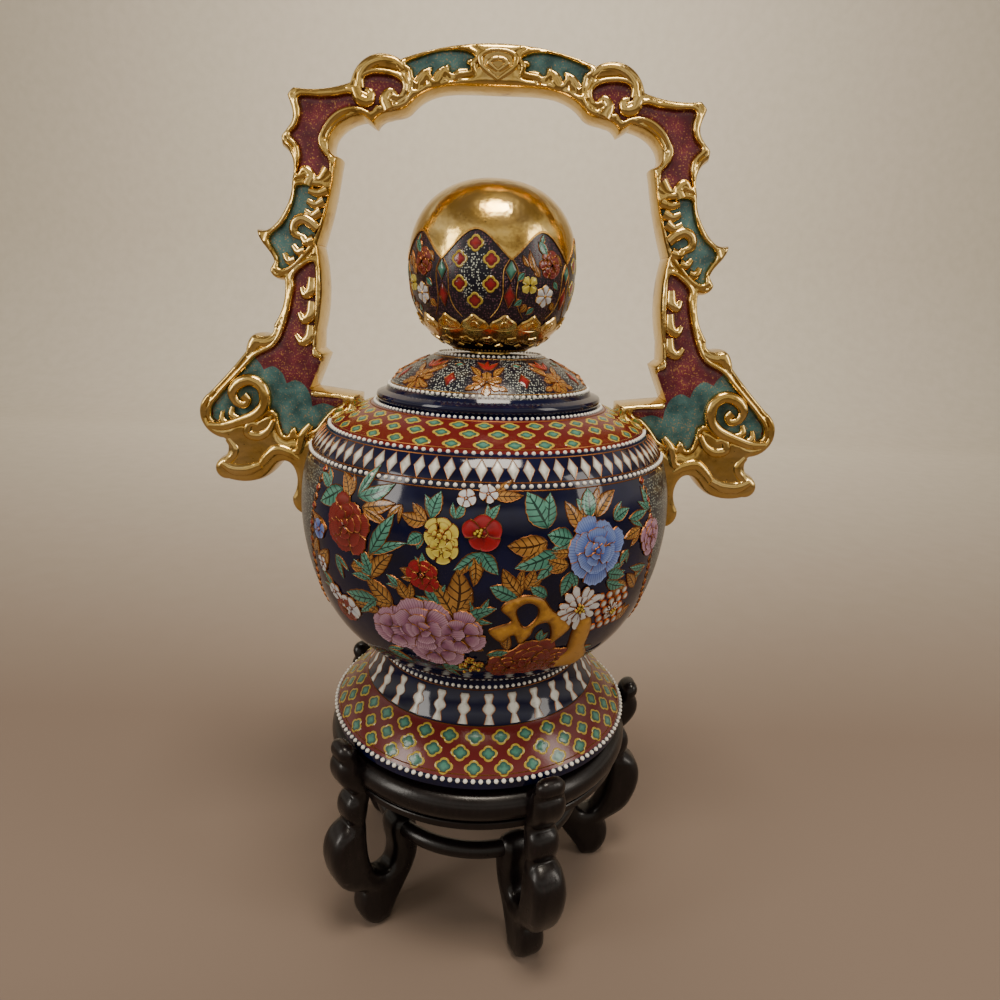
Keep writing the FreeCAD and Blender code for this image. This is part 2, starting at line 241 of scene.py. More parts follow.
# %% [markdown]
# ## The finishes
#
# The ware is a fired clay body under a cobalt-black glaze. Over it come opaque enamels, a gold lustre
# and thin gold lines. Every one is a dielectric glass except the gold, a metal film a fraction of a
# micrometre thick, which follows the glaze under it and mirrors the room. The stand is lacquered wood.
# Hand work shows as slow waves in the glaze, colour pooled at the outlines, and pits in the gold.

# %% Colour, size and node helpers
def colour(code):
    """An sRGB hex colour as the linear values that a shader takes."""
    parts = [int(code[i:i + 2], 16) / 255 for i in (1, 3, 5)]
    return (*[p / 12.92 if p <= 0.04045 else ((p + 0.055) / 1.055) ** 2.4 for p in parts], 1.0)


def per_metre(size_mm):
    """The texture scale that gives a pattern of this size."""
    return 1000 / size_mm


def add(tree, kind, inputs=None, stops=(), **settings):
    """One node. An input is a value, a hex colour, or the node or socket that it is linked to."""
    node = tree.nodes.new("ShaderNode" + kind)
    for name, value in settings.items():
        setattr(node, name, value)
    for name, value in (inputs or {}).items():
        if isinstance(value, (bpy.types.Node, bpy.types.NodeSocket)):
            tree.links.new(getattr(value, "outputs", [value])[0], node.inputs[name])
        else:
            node.inputs[name].default_value = colour(value) if isinstance(value, str) else value
    for i, (place, shade) in enumerate(stops):
        elements = node.color_ramp.elements
        stop = elements[i] if i < 2 else elements.new(place)
        stop.position, stop.color = place, colour(shade)
    return node


def begin(name):
    """A new empty material, its node tree, and the place on the object."""
    material = bpy.data.materials.new(name)
    material.use_nodes = True
    tree = material.node_tree
    tree.nodes.clear()
    return material, tree, add(tree, "TexCoord").outputs["Object"]


def surface(material, inputs):
    """Ends a material with one glossy shader, with its plain values on its own sockets."""
    tree = material.node_tree
    add(tree, "OutputMaterial", {"Surface": add(tree, "BsdfPrincipled", inputs)})
    return material


COBALT, GOLD, SLIP_GOLD = "#070A22", "#D8B566", "#C09A56"
print("cobalt in linear light:", [round(v, 4) for v in colour(COBALT)[:3]])

# %% Cobalt-black glaze, dipped and fired: a deep gloss with slow waves about 14 mm long
glaze, tree, place = begin("cobalt_black_dipped_glaze")
wave = add(tree, "TexNoise", {"Vector": place, "Scale": per_metre(14), "Detail": 1.0})
cloud = add(tree, "TexNoise", {"Vector": place, "Scale": per_metre(30), "Detail": 3.0})
tint = add(tree, "ValToRGB", {"Fac": cloud}, [(0.35, COBALT), (0.75, "#0C1238")])
bump = add(tree, "Bump", {"Height": wave, "Distance": 0.5 * MM, "Strength": 0.5})
surface(glaze, {"Base Color": tint, "Normal": bump, "Roughness": 0.08, "IOR": 1.45})
print("glaze:", glaze.name)

# %% Gold lustre, brushed on and fired: a mirror on slightly wavy ware, with pits and thin patches, and with painted highlights and painted dark reflections mottled into its colour
def gold_lustre(name, code, dark, pit_mm, wave_mm):
    material, tree, place = begin(name)
    wave = add(tree, "TexNoise", {"Vector": place, "Scale": per_metre(wave_mm)})
    worn = add(tree, "TexNoise", {"Vector": place, "Scale": per_metre(22), "Detail": 6.0, "Roughness": 0.65})
    pit = add(tree, "TexVoronoi", {"Vector": place, "Scale": per_metre(pit_mm)})
    # The film's colour follows the wear noise: its pale stop is a painted highlight, and its dark stop is
    # partly thin lustre and partly a painted dark reflection.
    film_with_painted_highlights = add(tree, "ValToRGB", {"Fac": worn}, [(0.28, dark), (0.42, code), (0.8, "#E9CF92")])
    spot = add(tree, "ValToRGB", {"Fac": pit}, [(0.045, "#3A2A12"), (0.085, "#FFFFFF")])
    shade = add(tree, "Mix", {0: 1.0, 6: film_with_painted_highlights, 7: spot}, data_type="RGBA", blend_type="MULTIPLY")
    dull = add(tree, "MapRange", {"Value": worn, "To Min": 0.26, "To Max": 0.1})
    bump = add(tree, "Bump", {"Height": wave, "Distance": 0.7 * MM, "Strength": 0.6})
    return surface(material, {"Base Color": shade.outputs[2], "Metallic": 1.0, "Roughness": dull,
                              "Normal": bump})


lustre = gold_lustre("bright_gold_lustre", GOLD, "#96733A", 5.0, 9.0)
amber_lustre = gold_lustre("thin_gold_lustre_over_ochre", "#C08A3C", "#7E4E1E", 3.0, 5.0)
print("lustre:", lustre.name, "and", amber_lustre.name)

# %% Raised gold line, piped slip under gold: rounder and duller than the brushed film
def gold_line(name, code):
    material, tree, place = begin(name)
    grain = add(tree, "TexNoise", {"Vector": place, "Scale": per_metre(1.5), "Detail": 3.0})
    tint = add(tree, "ValToRGB", {"Fac": grain}, [(0.3, "#8E5A2A"), (0.6, code)])
    return surface(material, {"Base Color": tint, "Metallic": 1.0, "Roughness": 0.42})


line_gold = gold_line("piped_gold_line", SLIP_GOLD)
line_copper = gold_line("piped_copper_line", "#8E5B34")
print("lines:", line_gold.name, "and", line_copper.name)

# %% [markdown]
# ### Filled enamel
#
# An enamel cell is flooded with wet ground glass inside its outline. It pools, so the middle is paler
# or deeper than the rim, and a brush drags veins and streaks through it before the firing. The marks
# that each shape carries say where its middle, tip and sides are, and one function paints from them.

# %% Fired enamel, flooded and brushed: a glassy dome, shaded from its outline to its middle
STREAKS, VEIN_PAIRS = 34.0, 6.0      # streaks across half a petal in radians, and veins along a leaf


def fired_enamel(name, rim, middle, tip=None, streaks=0.0, veins=None, roughness=0.16):
    material, tree, place = begin(name)
    mid, along, across = [add(tree, "Attribute", attribute_name=mark).outputs["Fac"] for mark in MARKS]
    cloud = add(tree, "TexNoise", {"Vector": place, "Scale": per_metre(3.5), "Detail": 4.0})
    pooled = add(tree, "Math", {0: mid, 1: cloud}, operation="MULTIPLY")
    shade = add(tree, "ValToRGB", {"Fac": pooled}, [(0.05, rim), (0.42, middle)])
    washes = []
    if tip:
        washes.append((add(tree, "MapRange", {"Value": along, "From Min": 0.35, "From Max": 0.95}), tip))
    if streaks:
        fan = add(tree, "Math", {0: across, 1: STREAKS}, operation="MULTIPLY")
        comb = add(tree, "Math", {0: fan}, operation="SINE")
        washes.append((add(tree, "MapRange", {"Value": comb, "From Min": 0.55, "To Max": streaks}), rim))
    if veins:
        side = add(tree, "Math", {0: across}, operation="ABSOLUTE")
        lean = add(tree, "Math", {0: side, 1: -0.16, 2: along}, operation="MULTIPLY_ADD")
        count = add(tree, "Math", {0: lean, 1: VEIN_PAIRS}, operation="MULTIPLY")
        share = add(tree, "Math", {0: count}, operation="FRACT")
        rib = add(tree, "Math", {0: share, 1: 0.2}, operation="LESS_THAN")
        midrib = add(tree, "Math", {0: side, 1: 0.1}, operation="LESS_THAN")
        washes.append((add(tree, "Math", {0: rib, 1: midrib}, operation="MAXIMUM"), veins))
    for share, top in washes:
        shade = add(tree, "Mix", {0: share, 6: shade, 7: top}, data_type="RGBA").outputs[2]
    bump = add(tree, "Bump", {"Height": cloud, "Distance": 0.12 * MM, "Strength": 0.5})
    return surface(material, {"Base Color": shade, "Normal": bump, "Roughness": roughness, "IOR": 1.52})


brick = fired_enamel("brick_red_enamel_ground", "#5E1214", "#74191A", roughness=0.2)
yellow = fired_enamel("yellow_enamel", "#AE9636", "#BFAE42", tip="#CFC25E", streaks=0.35)
teal_dot = fired_enamel("teal_enamel", "#274C44", "#4B8272")
white = fired_enamel("opaque_white_enamel", "#8F8F88", "#D2D2CA", roughness=0.24)
teal_leaf = fired_enamel("teal_leaf_enamel", "#285A4E", "#4B8574", tip="#5E9886", veins="#15352E")
ochre_leaf = fired_enamel("ochre_leaf_enamel", "#7C5220", "#AC7C3C", tip="#8E622C", veins="#3A220C")
maroon_petal = fired_enamel("maroon_petal_enamel", "#3E0E0C", "#6E1C18", tip="#84302A", streaks=0.5)
scarlet_petal = fired_enamel("scarlet_petal_enamel", "#4C0A0E", "#860F18", tip="#961A22")
pink_petal = fired_enamel("pink_petal_enamel", "#562A48", "#8E5C7C", tip="#C09AB0", streaks=0.7)
blue_petal = fired_enamel("periwinkle_petal_enamel", "#2A3E86", "#4E68B0", tip="#8196CC", streaks=0.6)
white_petal = fired_enamel("white_petal_enamel", "#80859A", "#C6C9D0", tip="#DADAD6", streaks=0.4)
red_dot = fired_enamel("brick_red_enamel", "#5C1216", "#8E2222")
bead = fired_enamel("white_slip_bead", "#B9B6AA", "#E8E6DE", roughness=0.3)
print("enamels:", sum(m.name.endswith("enamel") for m in bpy.data.materials))

# %% Dotted ground: slip dots tapped on one at a time, so their spacing wanders
def dotted_ground(name, ground, patch, faint_dot, dot, pitch_mm):
    """The dots are drawn a little larger than the real ones, which would be lost in the render."""
    material, tree, place = begin(name)
    mid = add(tree, "Attribute", attribute_name=MARKS[0]).outputs["Fac"]
    cell = add(tree, "TexVoronoi", {"Vector": place, "Scale": per_metre(pitch_mm), "Randomness": 0.6})
    spot = add(tree, "MapRange", {"Value": cell, "From Min": 0.28, "From Max": 0.38, "To Min": 1.0,
                                  "To Max": 0.0})
    base = add(tree, "Mix", {0: mid, 6: ground, 7: patch}, data_type="RGBA").outputs[2]
    slip = add(tree, "Mix", {0: mid, 6: faint_dot, 7: dot}, data_type="RGBA").outputs[2]
    shade = add(tree, "Mix", {0: spot, 6: base, 7: slip}, data_type="RGBA").outputs[2]
    bump = add(tree, "Bump", {"Height": spot, "Distance": 0.25 * MM, "Strength": 0.7})
    return surface(material, {"Base Color": shade, "Normal": bump, "Roughness": 0.28, "IOR": 1.5})


BALL_DOTS, SIDE_DOTS = 1.55, 1.9
ball_ground = dotted_ground("plum_and_navy_dotted_slip", "#150A1C", "#080C1E", "#5A3244", "#B6BEB4",
                            BALL_DOTS)
side_ground = dotted_ground("navy_dotted_slip", "#0C1020", "#141A2C", "#8E978C", "#A9B2A6", SIDE_DOTS)
print("dots are", BALL_DOTS, "mm apart on the ball and", SIDE_DOTS, "mm on the sides")

# %% Maroon and teal wash on the handle: thick enamel with gold rubbed over its high spots
def gold_rubbed_enamel(name, deep, pale, gold_share):
    material, tree, place = begin(name)
    cloud = add(tree, "TexNoise", {"Vector": place, "Scale": per_metre(12), "Detail": 4.0})
    grain = add(tree, "TexNoise", {"Vector": place, "Scale": per_metre(1.1), "Detail": 3.0,
                                   "Roughness": 0.6})
    tint = add(tree, "ValToRGB", {"Fac": cloud}, [(0.35, deep), (0.68, pale)])
    patch = add(tree, "Math", {0: cloud, 1: 0.25, 2: grain}, operation="MULTIPLY_ADD")
    rub = add(tree, "MapRange", {"Value": patch, "From Min": 0.70, "From Max": 0.80, "To Max": gold_share})
    shade = add(tree, "Mix", {0: rub, 6: tint, 7: "#B98A45"}, data_type="RGBA").outputs[2]
    bump = add(tree, "Bump", {"Height": cloud, "Distance": 0.9 * MM, "Strength": 0.6})
    return surface(material, {"Base Color": shade, "Normal": bump, "Roughness": 0.2, "IOR": 1.52})


maroon_wash = gold_rubbed_enamel("gold_rubbed_maroon_enamel", "#4A1522", "#6E2836", 0.7)
teal_wash = gold_rubbed_enamel("gold_rubbed_teal_enamel", "#2A4A4C", "#527A7A", 0.6)
print("washes:", maroon_wash.name, "and", teal_wash.name)

# %% Carved hardwood, ebonised and lacquered: near black, with grain about 2.5 mm wide
wood, tree, place = begin("ebonised_carved_hardwood")
stretched = add(tree, "Mapping", {"Vector": place, "Scale": (1.0, 1.0, 0.18)})
grain = add(tree, "TexNoise", {"Vector": stretched, "Scale": per_metre(2.5), "Detail": 6.0,
                               "Distortion": 0.6})
worn = add(tree, "TexNoise", {"Vector": place, "Scale": per_metre(25), "Detail": 3.0})
tint = add(tree, "ValToRGB", {"Fac": grain}, [(0.3, "#070405"), (0.62, "#110A0B"), (0.8, "#22141A")])
dull = add(tree, "MapRange", {"Value": worn, "To Min": 0.2, "To Max": 0.42})
bump = add(tree, "Bump", {"Height": grain, "Distance": 0.25 * MM, "Strength": 0.45})
surface(wood, {"Base Color": tint, "Roughness": dull, "Normal": bump, "IOR": 1.4, "Coat Weight": 0.12,
               "Coat Roughness": 0.12})
print("wood:", wood.name)
# %% [markdown]
# ## The turned walls
#
# The pot, foot, lid and ball are thrown or moulded round, so each is a profile turned about the axis.
# A Screw modifier could turn them, but with points made here the ornament lies on the same wall, and
# each stretch of the profile takes its own finish. The insides are made too, because they show when
# the lid is lifted off.

# %% Turning a profile
AROUND = 240      # points round each wall


def turned(name, stretches, body, slot, stands_for, marked=None):
    """Each stretch is (points, finish); a stretch starts where the one before ended."""
    line, finishes, paint = [stretches[0][0][0]], [], []
    for points, cover in stretches:
        if cover not in finishes:
            finishes.append(cover)
        for p in points:
            if math.dist(p, line[-1]) > 0.01:
                line.append(p)
                paint.append(finishes.index(cover))
    azimuths = np.radians(np.arange(AROUND) * 360 / AROUND)
    r, z = np.array(line, float).T
    grid = np.stack([np.outer(r, np.sin(azimuths)), -np.outer(r, np.cos(azimuths)),
                     np.outer(z, np.ones(AROUND))], -1) * MM
    marks = np.zeros((len(line) * AROUND, len(MARKS)))
    if marked:
        marks[:, 0] = np.concatenate([marked(np.degrees(azimuths), height) for height in z])
    pile = Pile()
    pile.add(grid.reshape(-1, 3), grid_faces(len(line), AROUND, True),
             np.repeat(paint, AROUND).tolist(), marks)
    pile.make(name, finishes, body, slot, stands_for, 35, weld=True)
    low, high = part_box(stands_for[0])
    print("  reaches r %.1f, z %.1f to %.1f; the CAD node r %.1f, z %.1f to %.1f"
          % (r.max(), z.min(), z.max(), high[0] / MM, low[2] / MM, high[2] / MM))


WALL = 6      # mm


def inside_of(points):
    """The same line moved inwards by the wall's thickness, running back down."""
    p = np.array(points, float)
    run = np.gradient(p, axis=0)
    square = np.stack([-run[:, 1], run[:, 0]], -1) / np.linalg.norm(run, axis=1)[:, None]
    return [tuple(q) for q in (p + square * WALL)[::-1]]


print("each wall has", AROUND, "points round it")

# %% The belly: a navy ground, the lozenge band, the red shoulder and the mouth
belly_side = curve_line([(80, 226), (97, 238.5), (111, 252), (122, 269), (132, 294), (137.5, 320),
                         (139, 343), (136.5, 368), (131, 386)])
lozenge_band = arc_line((131, 386), (125.5, 395), (117.6, 402.4))
red_shoulder = arc_line((117.6, 402.4), (102.5, 411), (86, 417.5))
mouth_edge = [(86, 417.5), (81.5, 419.6), (80, 420)]
belly_wall = TurnedWall(belly_side + lozenge_band[1:] + red_shoulder[1:] + mouth_edge[1:])
turned("belly_glaze", [
    ([(0, 226), (80, 226)], glaze), (belly_side, glaze), (lozenge_band, glaze), (red_shoulder, brick),
    (mouth_edge + [(72, 420), (71, 419), (71, 412)], glaze),
    (inside_of(lozenge_band[2:] + red_shoulder[1:-2]) + inside_of(belly_side[5:]), glaze),
    ([(78, 232), (0, 232)], glaze),
], "vase", "enamelled_body", ["vase_belly"])

# %% The foot: a flared skirt with a rolled rim, standing on a ring inside it
foot_red = arc_line((118, 173.5), (107, 186.5), (93.5, 198))
foot_blue = arc_line((93.5, 198), (85, 211), (80, 226))
foot_wall = TurnedWall(foot_red + foot_blue[1:])
turned("foot_glaze", [
    ([(101, 162), (109, 162), (110, 165.5), (118.5, 165.5), (119.5, 166.5), (119.5, 171), (118, 173.5)],
     glaze),
    (foot_red, brick), (foot_blue, glaze),
    ([(80, 226), (73, 226), (74, 218), (78, 209), (87, 192), (95, 181), (101, 172), (101, 162)], glaze),
], "vase", "enamelled_foot", ["vase_foot"])

# %% The lid: a spigot that drops into the mouth, a flange over it and the dome
lid_dome = curve_line([(75.5, 429), (67, 438), (56, 445.5), (45, 450.5), (36, 454)])
lid_wall = TurnedWall(lid_dome)


def lid_patches(azimuths, height):
    """Pale-dotted fans alternate with plum ones, eight of each round the dome."""
    wave = 0.5 - 0.5 * np.cos(np.radians(azimuths * 8))
    return np.clip((wave - 0.3) * 3, 0, 1) * float(428 < height < 455)


turned("lid_glaze", [
    ([(64, 408), (69.5, 408), (69.5, 420), (82.5, 420)], glaze),
    (arc_line((82.5, 420), (83.3, 422.5), (82.5, 425)) + [(79.5, 426.2), (77, 427), (75.5, 429)], glaze),
    (lid_dome, ball_ground),
    ([(36, 454), (6, 454), (6, 448.5), (32, 447), (45, 443.5), (56, 436.5), (64, 427), (64, 408)], glaze),
], "lid", "enamelled_lid", ["lid_cover"], marked=lid_patches)

# %% The ball: a squared-off ellipse, dotted slip over most of its side
BALL_RADIUS, BALL_MIDDLE, BALL_HALF, BALL_SQUARENESS, BALL_SEAT = 59.5, 512.5, 58.5, 2.3, 455
FIRST_ARCH = -9.6      # azimuth of the arch whose panel faces the front


def ball_profile(count=48):
    """Up the ball's side, from its seat on the lid to the top."""
    line = []
    for i in range(count + 1):
        level = math.cos(math.pi * (1 - i / count))
        share = max(0.0, 1 - abs(level) ** BALL_SQUARENESS) ** (1 / BALL_SQUARENESS)
        line.append((BALL_RADIUS * share, BALL_MIDDLE + BALL_HALF * level))
    return [p for p in line if p[1] > BALL_SEAT]


def ball_panels(azimuths, height):
    """How navy the ground is: 1 inside the oval of every other arched panel."""
    turn = (azimuths - FIRST_ARCH + 45) % 90 - 45
    across = turn * math.pi / 180 * BALL_RADIUS
    far = np.hypot(across / 9.5, (height - 507.5) / 19)
    return np.clip((1.15 - far) * 6, 0, 1)


ball_side = ball_profile()
ball_wall = TurnedWall(ball_side)
turned("ball_dotted_ground", [
    ([(0.5, 454), (ball_side[0][0], 454), ball_side[0]], lustre), (ball_side, ball_ground),
], "lid", "enamelled_ball", ["finial_ball"], marked=ball_panels)

# %% [markdown]
# ## Piped and filled ornament
#
# The painter works in three passes: an outline piped in slip, enamel flooded inside it, then a
# second outline where petals overlap. So each shape here has a rounded edge bead 0.8 mm wide and a
# shallow dome inside it. A Solidify modifier would give square edges, so the height is worked out
# from the distance to the outline instead, by one function for every shape.

# %% The height of a filled cell, from the distance to its outline
BEAD_WIDTH, BEAD_HEIGHT, ROOT = 0.8, 0.34, -0.4
ENAMEL_EDGE = 0.12      # how high the enamel stands where it meets the bead
SUNK = -0.3             # how far the edges of beads and lines are let into the glaze


def cell_height(inset, half_width, dome):
    """Lift in mm: up over the piped bead at the edge, then a shallow dome of enamel."""
    inset, half_width = np.asarray(inset, float), np.asarray(half_width, float)
    bead_part = np.interp(inset, [0, BEAD_WIDTH / 2, BEAD_WIDTH], [ROOT, BEAD_HEIGHT, ENAMEL_EDGE])
    share = np.clip((inset - BEAD_WIDTH) / np.maximum(half_width - BEAD_WIDTH, 0.4), 0, 1)
    return bead_part + dome * np.sqrt(1 - (1 - share) ** 2) * (inset > BEAD_WIDTH)


print("bead", BEAD_WIDTH, "mm wide and", BEAD_HEIGHT, "mm high")

# %% Round cells: dots, quatrefoils, lozenges and rhombs
def cell(pile, wall, azimuth, height, outline, dome, base=0.0, line=0, fill=1,
         bead_width=BEAD_WIDTH):
    """A closed outline round its centre, as rings that close in on the middle."""
    outline = np.asarray(outline, float)
    reach = np.linalg.norm(outline, axis=1)
    size = reach.mean()
    insets = [0, bead_width / 2] + [bead_width + share * (size - bead_width) for share in (0, 0.35, 0.75)]
    rings, marks = [], []
    for inset in insets:
        lift = cell_height(inset * BEAD_WIDTH / bead_width, size, dome) + base
        ring = outline * np.maximum(1 - inset / size, 0.04)[..., None]
        rings.append(wall.around(azimuth, height, ring, lift))
        middle = np.clip((inset - bead_width) / (size - bead_width), 0, 1)
        marks.append(np.tile([middle * 1.2, 0.3, 0.0], (len(outline), 1)))
    count = len(outline)
    faces = grid_faces(len(rings), count, True)
    faces.append(tuple(range((len(rings) - 1) * count, len(rings) * count)))
    paint = [line] * (2 * count) + [fill] * (len(faces) - 2 * count)
    pile.add(np.concatenate(rings), faces, paint, np.concatenate(marks))


def lobed(across, up, lobes, depth, points=24, turn=0.0):
    """A round outline with lobes: a quatrefoil, or a circle where depth is 0."""
    t = np.arange(points) * 2 * math.pi / points
    r = 1 - depth / 2 + depth / 2 * np.cos(lobes * (t - turn))
    return np.stack([across * r * np.cos(t), up * r * np.sin(t)], -1)


def quatrefoil(across, up, points=32):
    """Four round lobes, to the right, up, left and down."""
    t = np.arange(points) * 2 * math.pi / points
    lean = (t + math.pi / 4) % (math.pi / 2) - math.pi / 4
    r = 0.46 * np.cos(lean) + np.sqrt(0.54**2 - (0.46 * np.sin(lean)) ** 2)
    return np.stack([across * r * np.cos(t), up * r * np.sin(t)], -1)


def rhomb(across, up, points=4):
    """A lozenge with its long axis up the wall."""
    corners = [(across, 0), (0, up), (-across, 0), (0, -up)]
    return [tuple(np.add(np.multiply(a, 1 - i / points), np.multiply(b, i / points)))
            for a, b in zip(corners, corners[1:] + corners[:1]) for i in range(points)]


print("a quatrefoil has", len(quatrefoil(1, 1)), "points and a rhomb has", len(rhomb(1, 1)))

# %% Rings of slip beads, and the thin gold lines beside them
def bead_ring(pile, wall, height, pitch, across):
    """Half-round dots of slip set all round at one height, as many as fit at their pitch."""
    count = round(2 * math.pi * float(wall.radius(height)) / pitch)
    t = np.arange(8) * math.pi / 4
    for i in range(count):
        rings = [wall.around(i * 360 / count, height, np.stack([q * np.cos(t), q * np.sin(t)], -1), lift)
                 for q, lift in ((across / 2, SUNK), (across / 2, 0.25), (across * 0.4, across * 0.33),
                                 (across * 0.2, across * 0.47))]
        pile.add(np.concatenate(rings), grid_faces(4, 8, True) + [tuple(range(24, 32))], 0,
                 np.tile([1.0, 0, 0], (32, 1)))


def line_ring(pile, wall, height, thick):
    """A half-round line all round the wall."""
    azimuths = np.arange(AROUND) * 360 / AROUND
    along = wall.along(height)
    rows = [wall.point(azimuths, along + v, lift)
            for v, lift in ((-thick / 2, SUNK), (-thick / 2, 0.1), (0, thick * 0.5), (thick / 2, 0.1),
                            (thick / 2, SUNK))]
    pile.add(np.concatenate(rows), grid_faces(len(rows), AROUND, True), 1)


def beadwork(name, body, slot, line, rings, lines):
    """Rings of (wall, height, pitch, bead size) and lines of (wall, height, thickness) in one piece."""
    pile = Pile()
    for ring in rings:
        bead_ring(pile, *ring)
    for ring in lines:
        line_ring(pile, *ring)
    pile.make(name, [bead, line], body, slot)


beadwork("belly_bead_rings", "vase", "enamelled_body", line_copper,
         [(belly_wall, *ring) for ring in ((386, 5.0, 2.8), (402.6, 5.2, 2.7), (418.2, 3.9, 2.3))],
         [(belly_wall, height, 0.8) for height in (383.6, 388.0, 400.6, 404.4, 416.9)])
rim_wall = TurnedWall([(119.5, 169.5), (119.3, 172), (117.6, 175.5)])
beadwork("foot_bead_rim", "vase", "enamelled_foot", line_copper,
         [(rim_wall, 172.4, 5.35, 3.3), (foot_wall, 222.6, 4.4, 2.7)],
         [(foot_wall, height, 0.8) for height in (198.2, 220.4, 175.6)])
beadwork("lid_bead_rings", "lid", "enamelled_lid", line_gold,
         [(lid_wall, 430.6, 4.1, 2.6), (lid_wall, 453.4, 3.6, 2.3)],
         [(lid_wall, height, 0.7) for height in (432.2, 452.0)])

# %% The net of quatrefoils on the red bands, yellow outlines round teal middles
hand = random.Random(12)      # every small unevenness of the hand is drawn from this, in one order


def quatrefoil_net(name, slot, wall, rows, count, across, up):
    pile = Pile()
    for row, height in enumerate(rows):
        for i in range(count):
            grow = hand.uniform(0.93, 1.05)
            cell(pile, wall, (i + 0.5 * (row % 2)) * 360 / count, height,
                 quatrefoil(across * grow, up * grow), 0.3, bead_width=2.0)
    pile.make(name, [yellow, teal_dot], "vase", slot)


quatrefoil_net("shoulder_quatrefoils", "enamelled_body", belly_wall, (406.4, 411.2, 415.0), 36, 7.0, 5.0)
quatrefoil_net("foot_quatrefoils", "enamelled_foot", foot_wall, (178.8, 186.2, 193.6), 34, 7.4, 6.2)

# %% White lozenges round the shoulder band, each in a gold line
LOZENGES = 84
lozenges = Pile()
for i in range(LOZENGES):
    cell(lozenges, belly_wall, i * 360 / LOZENGES, 394.6, rhomb(4.1, 8.3), 0.15)
lozenges.make("shoulder_lozenges", [line_copper, white], "vase", "enamelled_body")

# %% [markdown]
# ### Leaves and petals
#
# Leaves and petals are one kind of shape, a blade that grows from a base along a midline. A leaf
# comes to a point and has toothed sides. A petal widens to a scalloped end. A grid along and across
# the blade gives both, and its marks carry the veins and streaks.

# %% Blades
def blade(length, half_width, rows, tip=None, bend=0.0):
    """Flat points of a blade that grows along +up from the origin, with its insets and marks."""
    steps = np.concatenate([np.linspace(0, 1 - 0.9 / length, rows), [1 - 0.45 / length, 1]]) \
        if tip else np.linspace(0, 1, rows)
    sides = np.array([-1, -0.5, 0, 0.5, 1])
    flat, inset, marks, half = [], [], [], []
    for t in steps:
        w = half_width(t)
        edge = min(BEAD_WIDTH, 0.5 * w)
        inner = max(w - edge, 0.0)
        x = np.concatenate([[-w, -w + edge / 2], sides * inner if not tip else
                            np.linspace(-inner, inner, 9), [w - edge / 2, w]])
        a = x / max(w, 1e-6)
        y = t * (length * (tip(a) if tip else 1) * np.ones_like(a))
        side_inset = np.array([0, edge / 2] + [edge] * (len(x) - 4) + [edge / 2, 0])
        side_inset[2:-2] = edge + (inner - np.abs(x[2:-2])) * (edge > 0)
        end_inset = (1 - t) * length if tip else 99
        reach = np.minimum(side_inset, end_inset)
        flat.append(np.stack([x + bend * 4 * t * (1 - t), y], -1))
        inset.append(reach * (BEAD_WIDTH / max(edge, 1e-6) if edge < BEAD_WIDTH else 1))
        half.append(np.full(len(x), max(w, 0.5)))
        marks.append(np.stack([np.clip(reach / max(half_width(0.5) * 0.7, 0.5), 0, 1),
                               np.full(len(x), t), a], -1))
    return (np.concatenate(flat), np.concatenate(inset), np.concatenate(half), np.concatenate(marks),
            len(steps), len(flat[0]))


def lay_blade(pile, wall, azimuth, height, turn, start, shape, base, dome, line=0, fill=1):
    """Lays a blade on the wall: it starts so far from the centre and grows towards turn degrees."""
    flat, inset, half, marks, rows, columns = shape
    a = math.radians(turn)
    up, right = np.array([math.sin(a), math.cos(a)]), np.array([math.cos(a), -math.sin(a)])
    placed = flat[:, :1] * right + (flat[:, 1:] + start) * up
    points = wall.around(azimuth, height, placed, cell_height(inset, half, dome) + base)
    faces = grid_faces(rows, columns)
    paint = [line if min(inset[list(f)]) < BEAD_WIDTH * 0.49 or max(inset[list(f)]) < BEAD_WIDTH * 1.01
             else fill for f in faces]
    pile.add(points, faces, paint, marks)


print("a leaf has %d rows of %d points" % blade(20, lambda t: 5, 16)[4:])

# %% Leaves, petals and flowers, laid on a wall
ENAMEL_DOME = 0.3      # how far the enamel swells in the middle of a blade, in mm
LAYER_RISE = 0.42      # how much higher each layer of petals lies
TEETH = 5


def leaf(pile, wall, from_azimuth, from_height, to_azimuth, to_height, width, base=0.2):
    """A toothed leaf between two places on the wall."""
    middle = (from_height + to_height) / 2
    du = math.radians(to_azimuth - from_azimuth) * float(wall.radius(middle))
    dv = float(wall.along(to_height) - wall.along(from_height))
    length = math.hypot(du, dv)
    bend = hand.uniform(-0.08, 0.08) * length

    def half_width(t):
        tooth = 1 + 0.13 * (1 - (t * TEETH) % 1.0) * (t > 0.2)
        return width / 2 * max(math.sin(math.pi * t**0.8), 0.02) ** 0.75 * tooth

    shape = blade(length, half_width, 16, bend=bend)
    lay_blade(pile, wall, from_azimuth, from_height, math.degrees(math.atan2(du, dv)), 0, shape,
              base + hand.uniform(0, 0.25), ENAMEL_DOME)


def petal(pile, wall, azimuth, height, turn, start, length, width, base, scallops, dome, line=0, fill=1):
    """A petal that widens to a scalloped, rounded end."""
    def half_width(t):
        return width / 2 * (0.3 + 0.7 * math.sin(math.pi / 2 * min(t, 1.0) ** 0.8))

    def tip(a):
        ripple = 0.035 * np.cos(np.pi * scallops * a) if scallops else 0
        return 1 - 0.34 * np.abs(a) ** 2.2 + ripple

    lay_blade(pile, wall, azimuth, height, turn, start, blade(length, half_width, 6, tip), base,
              dome, line, fill)


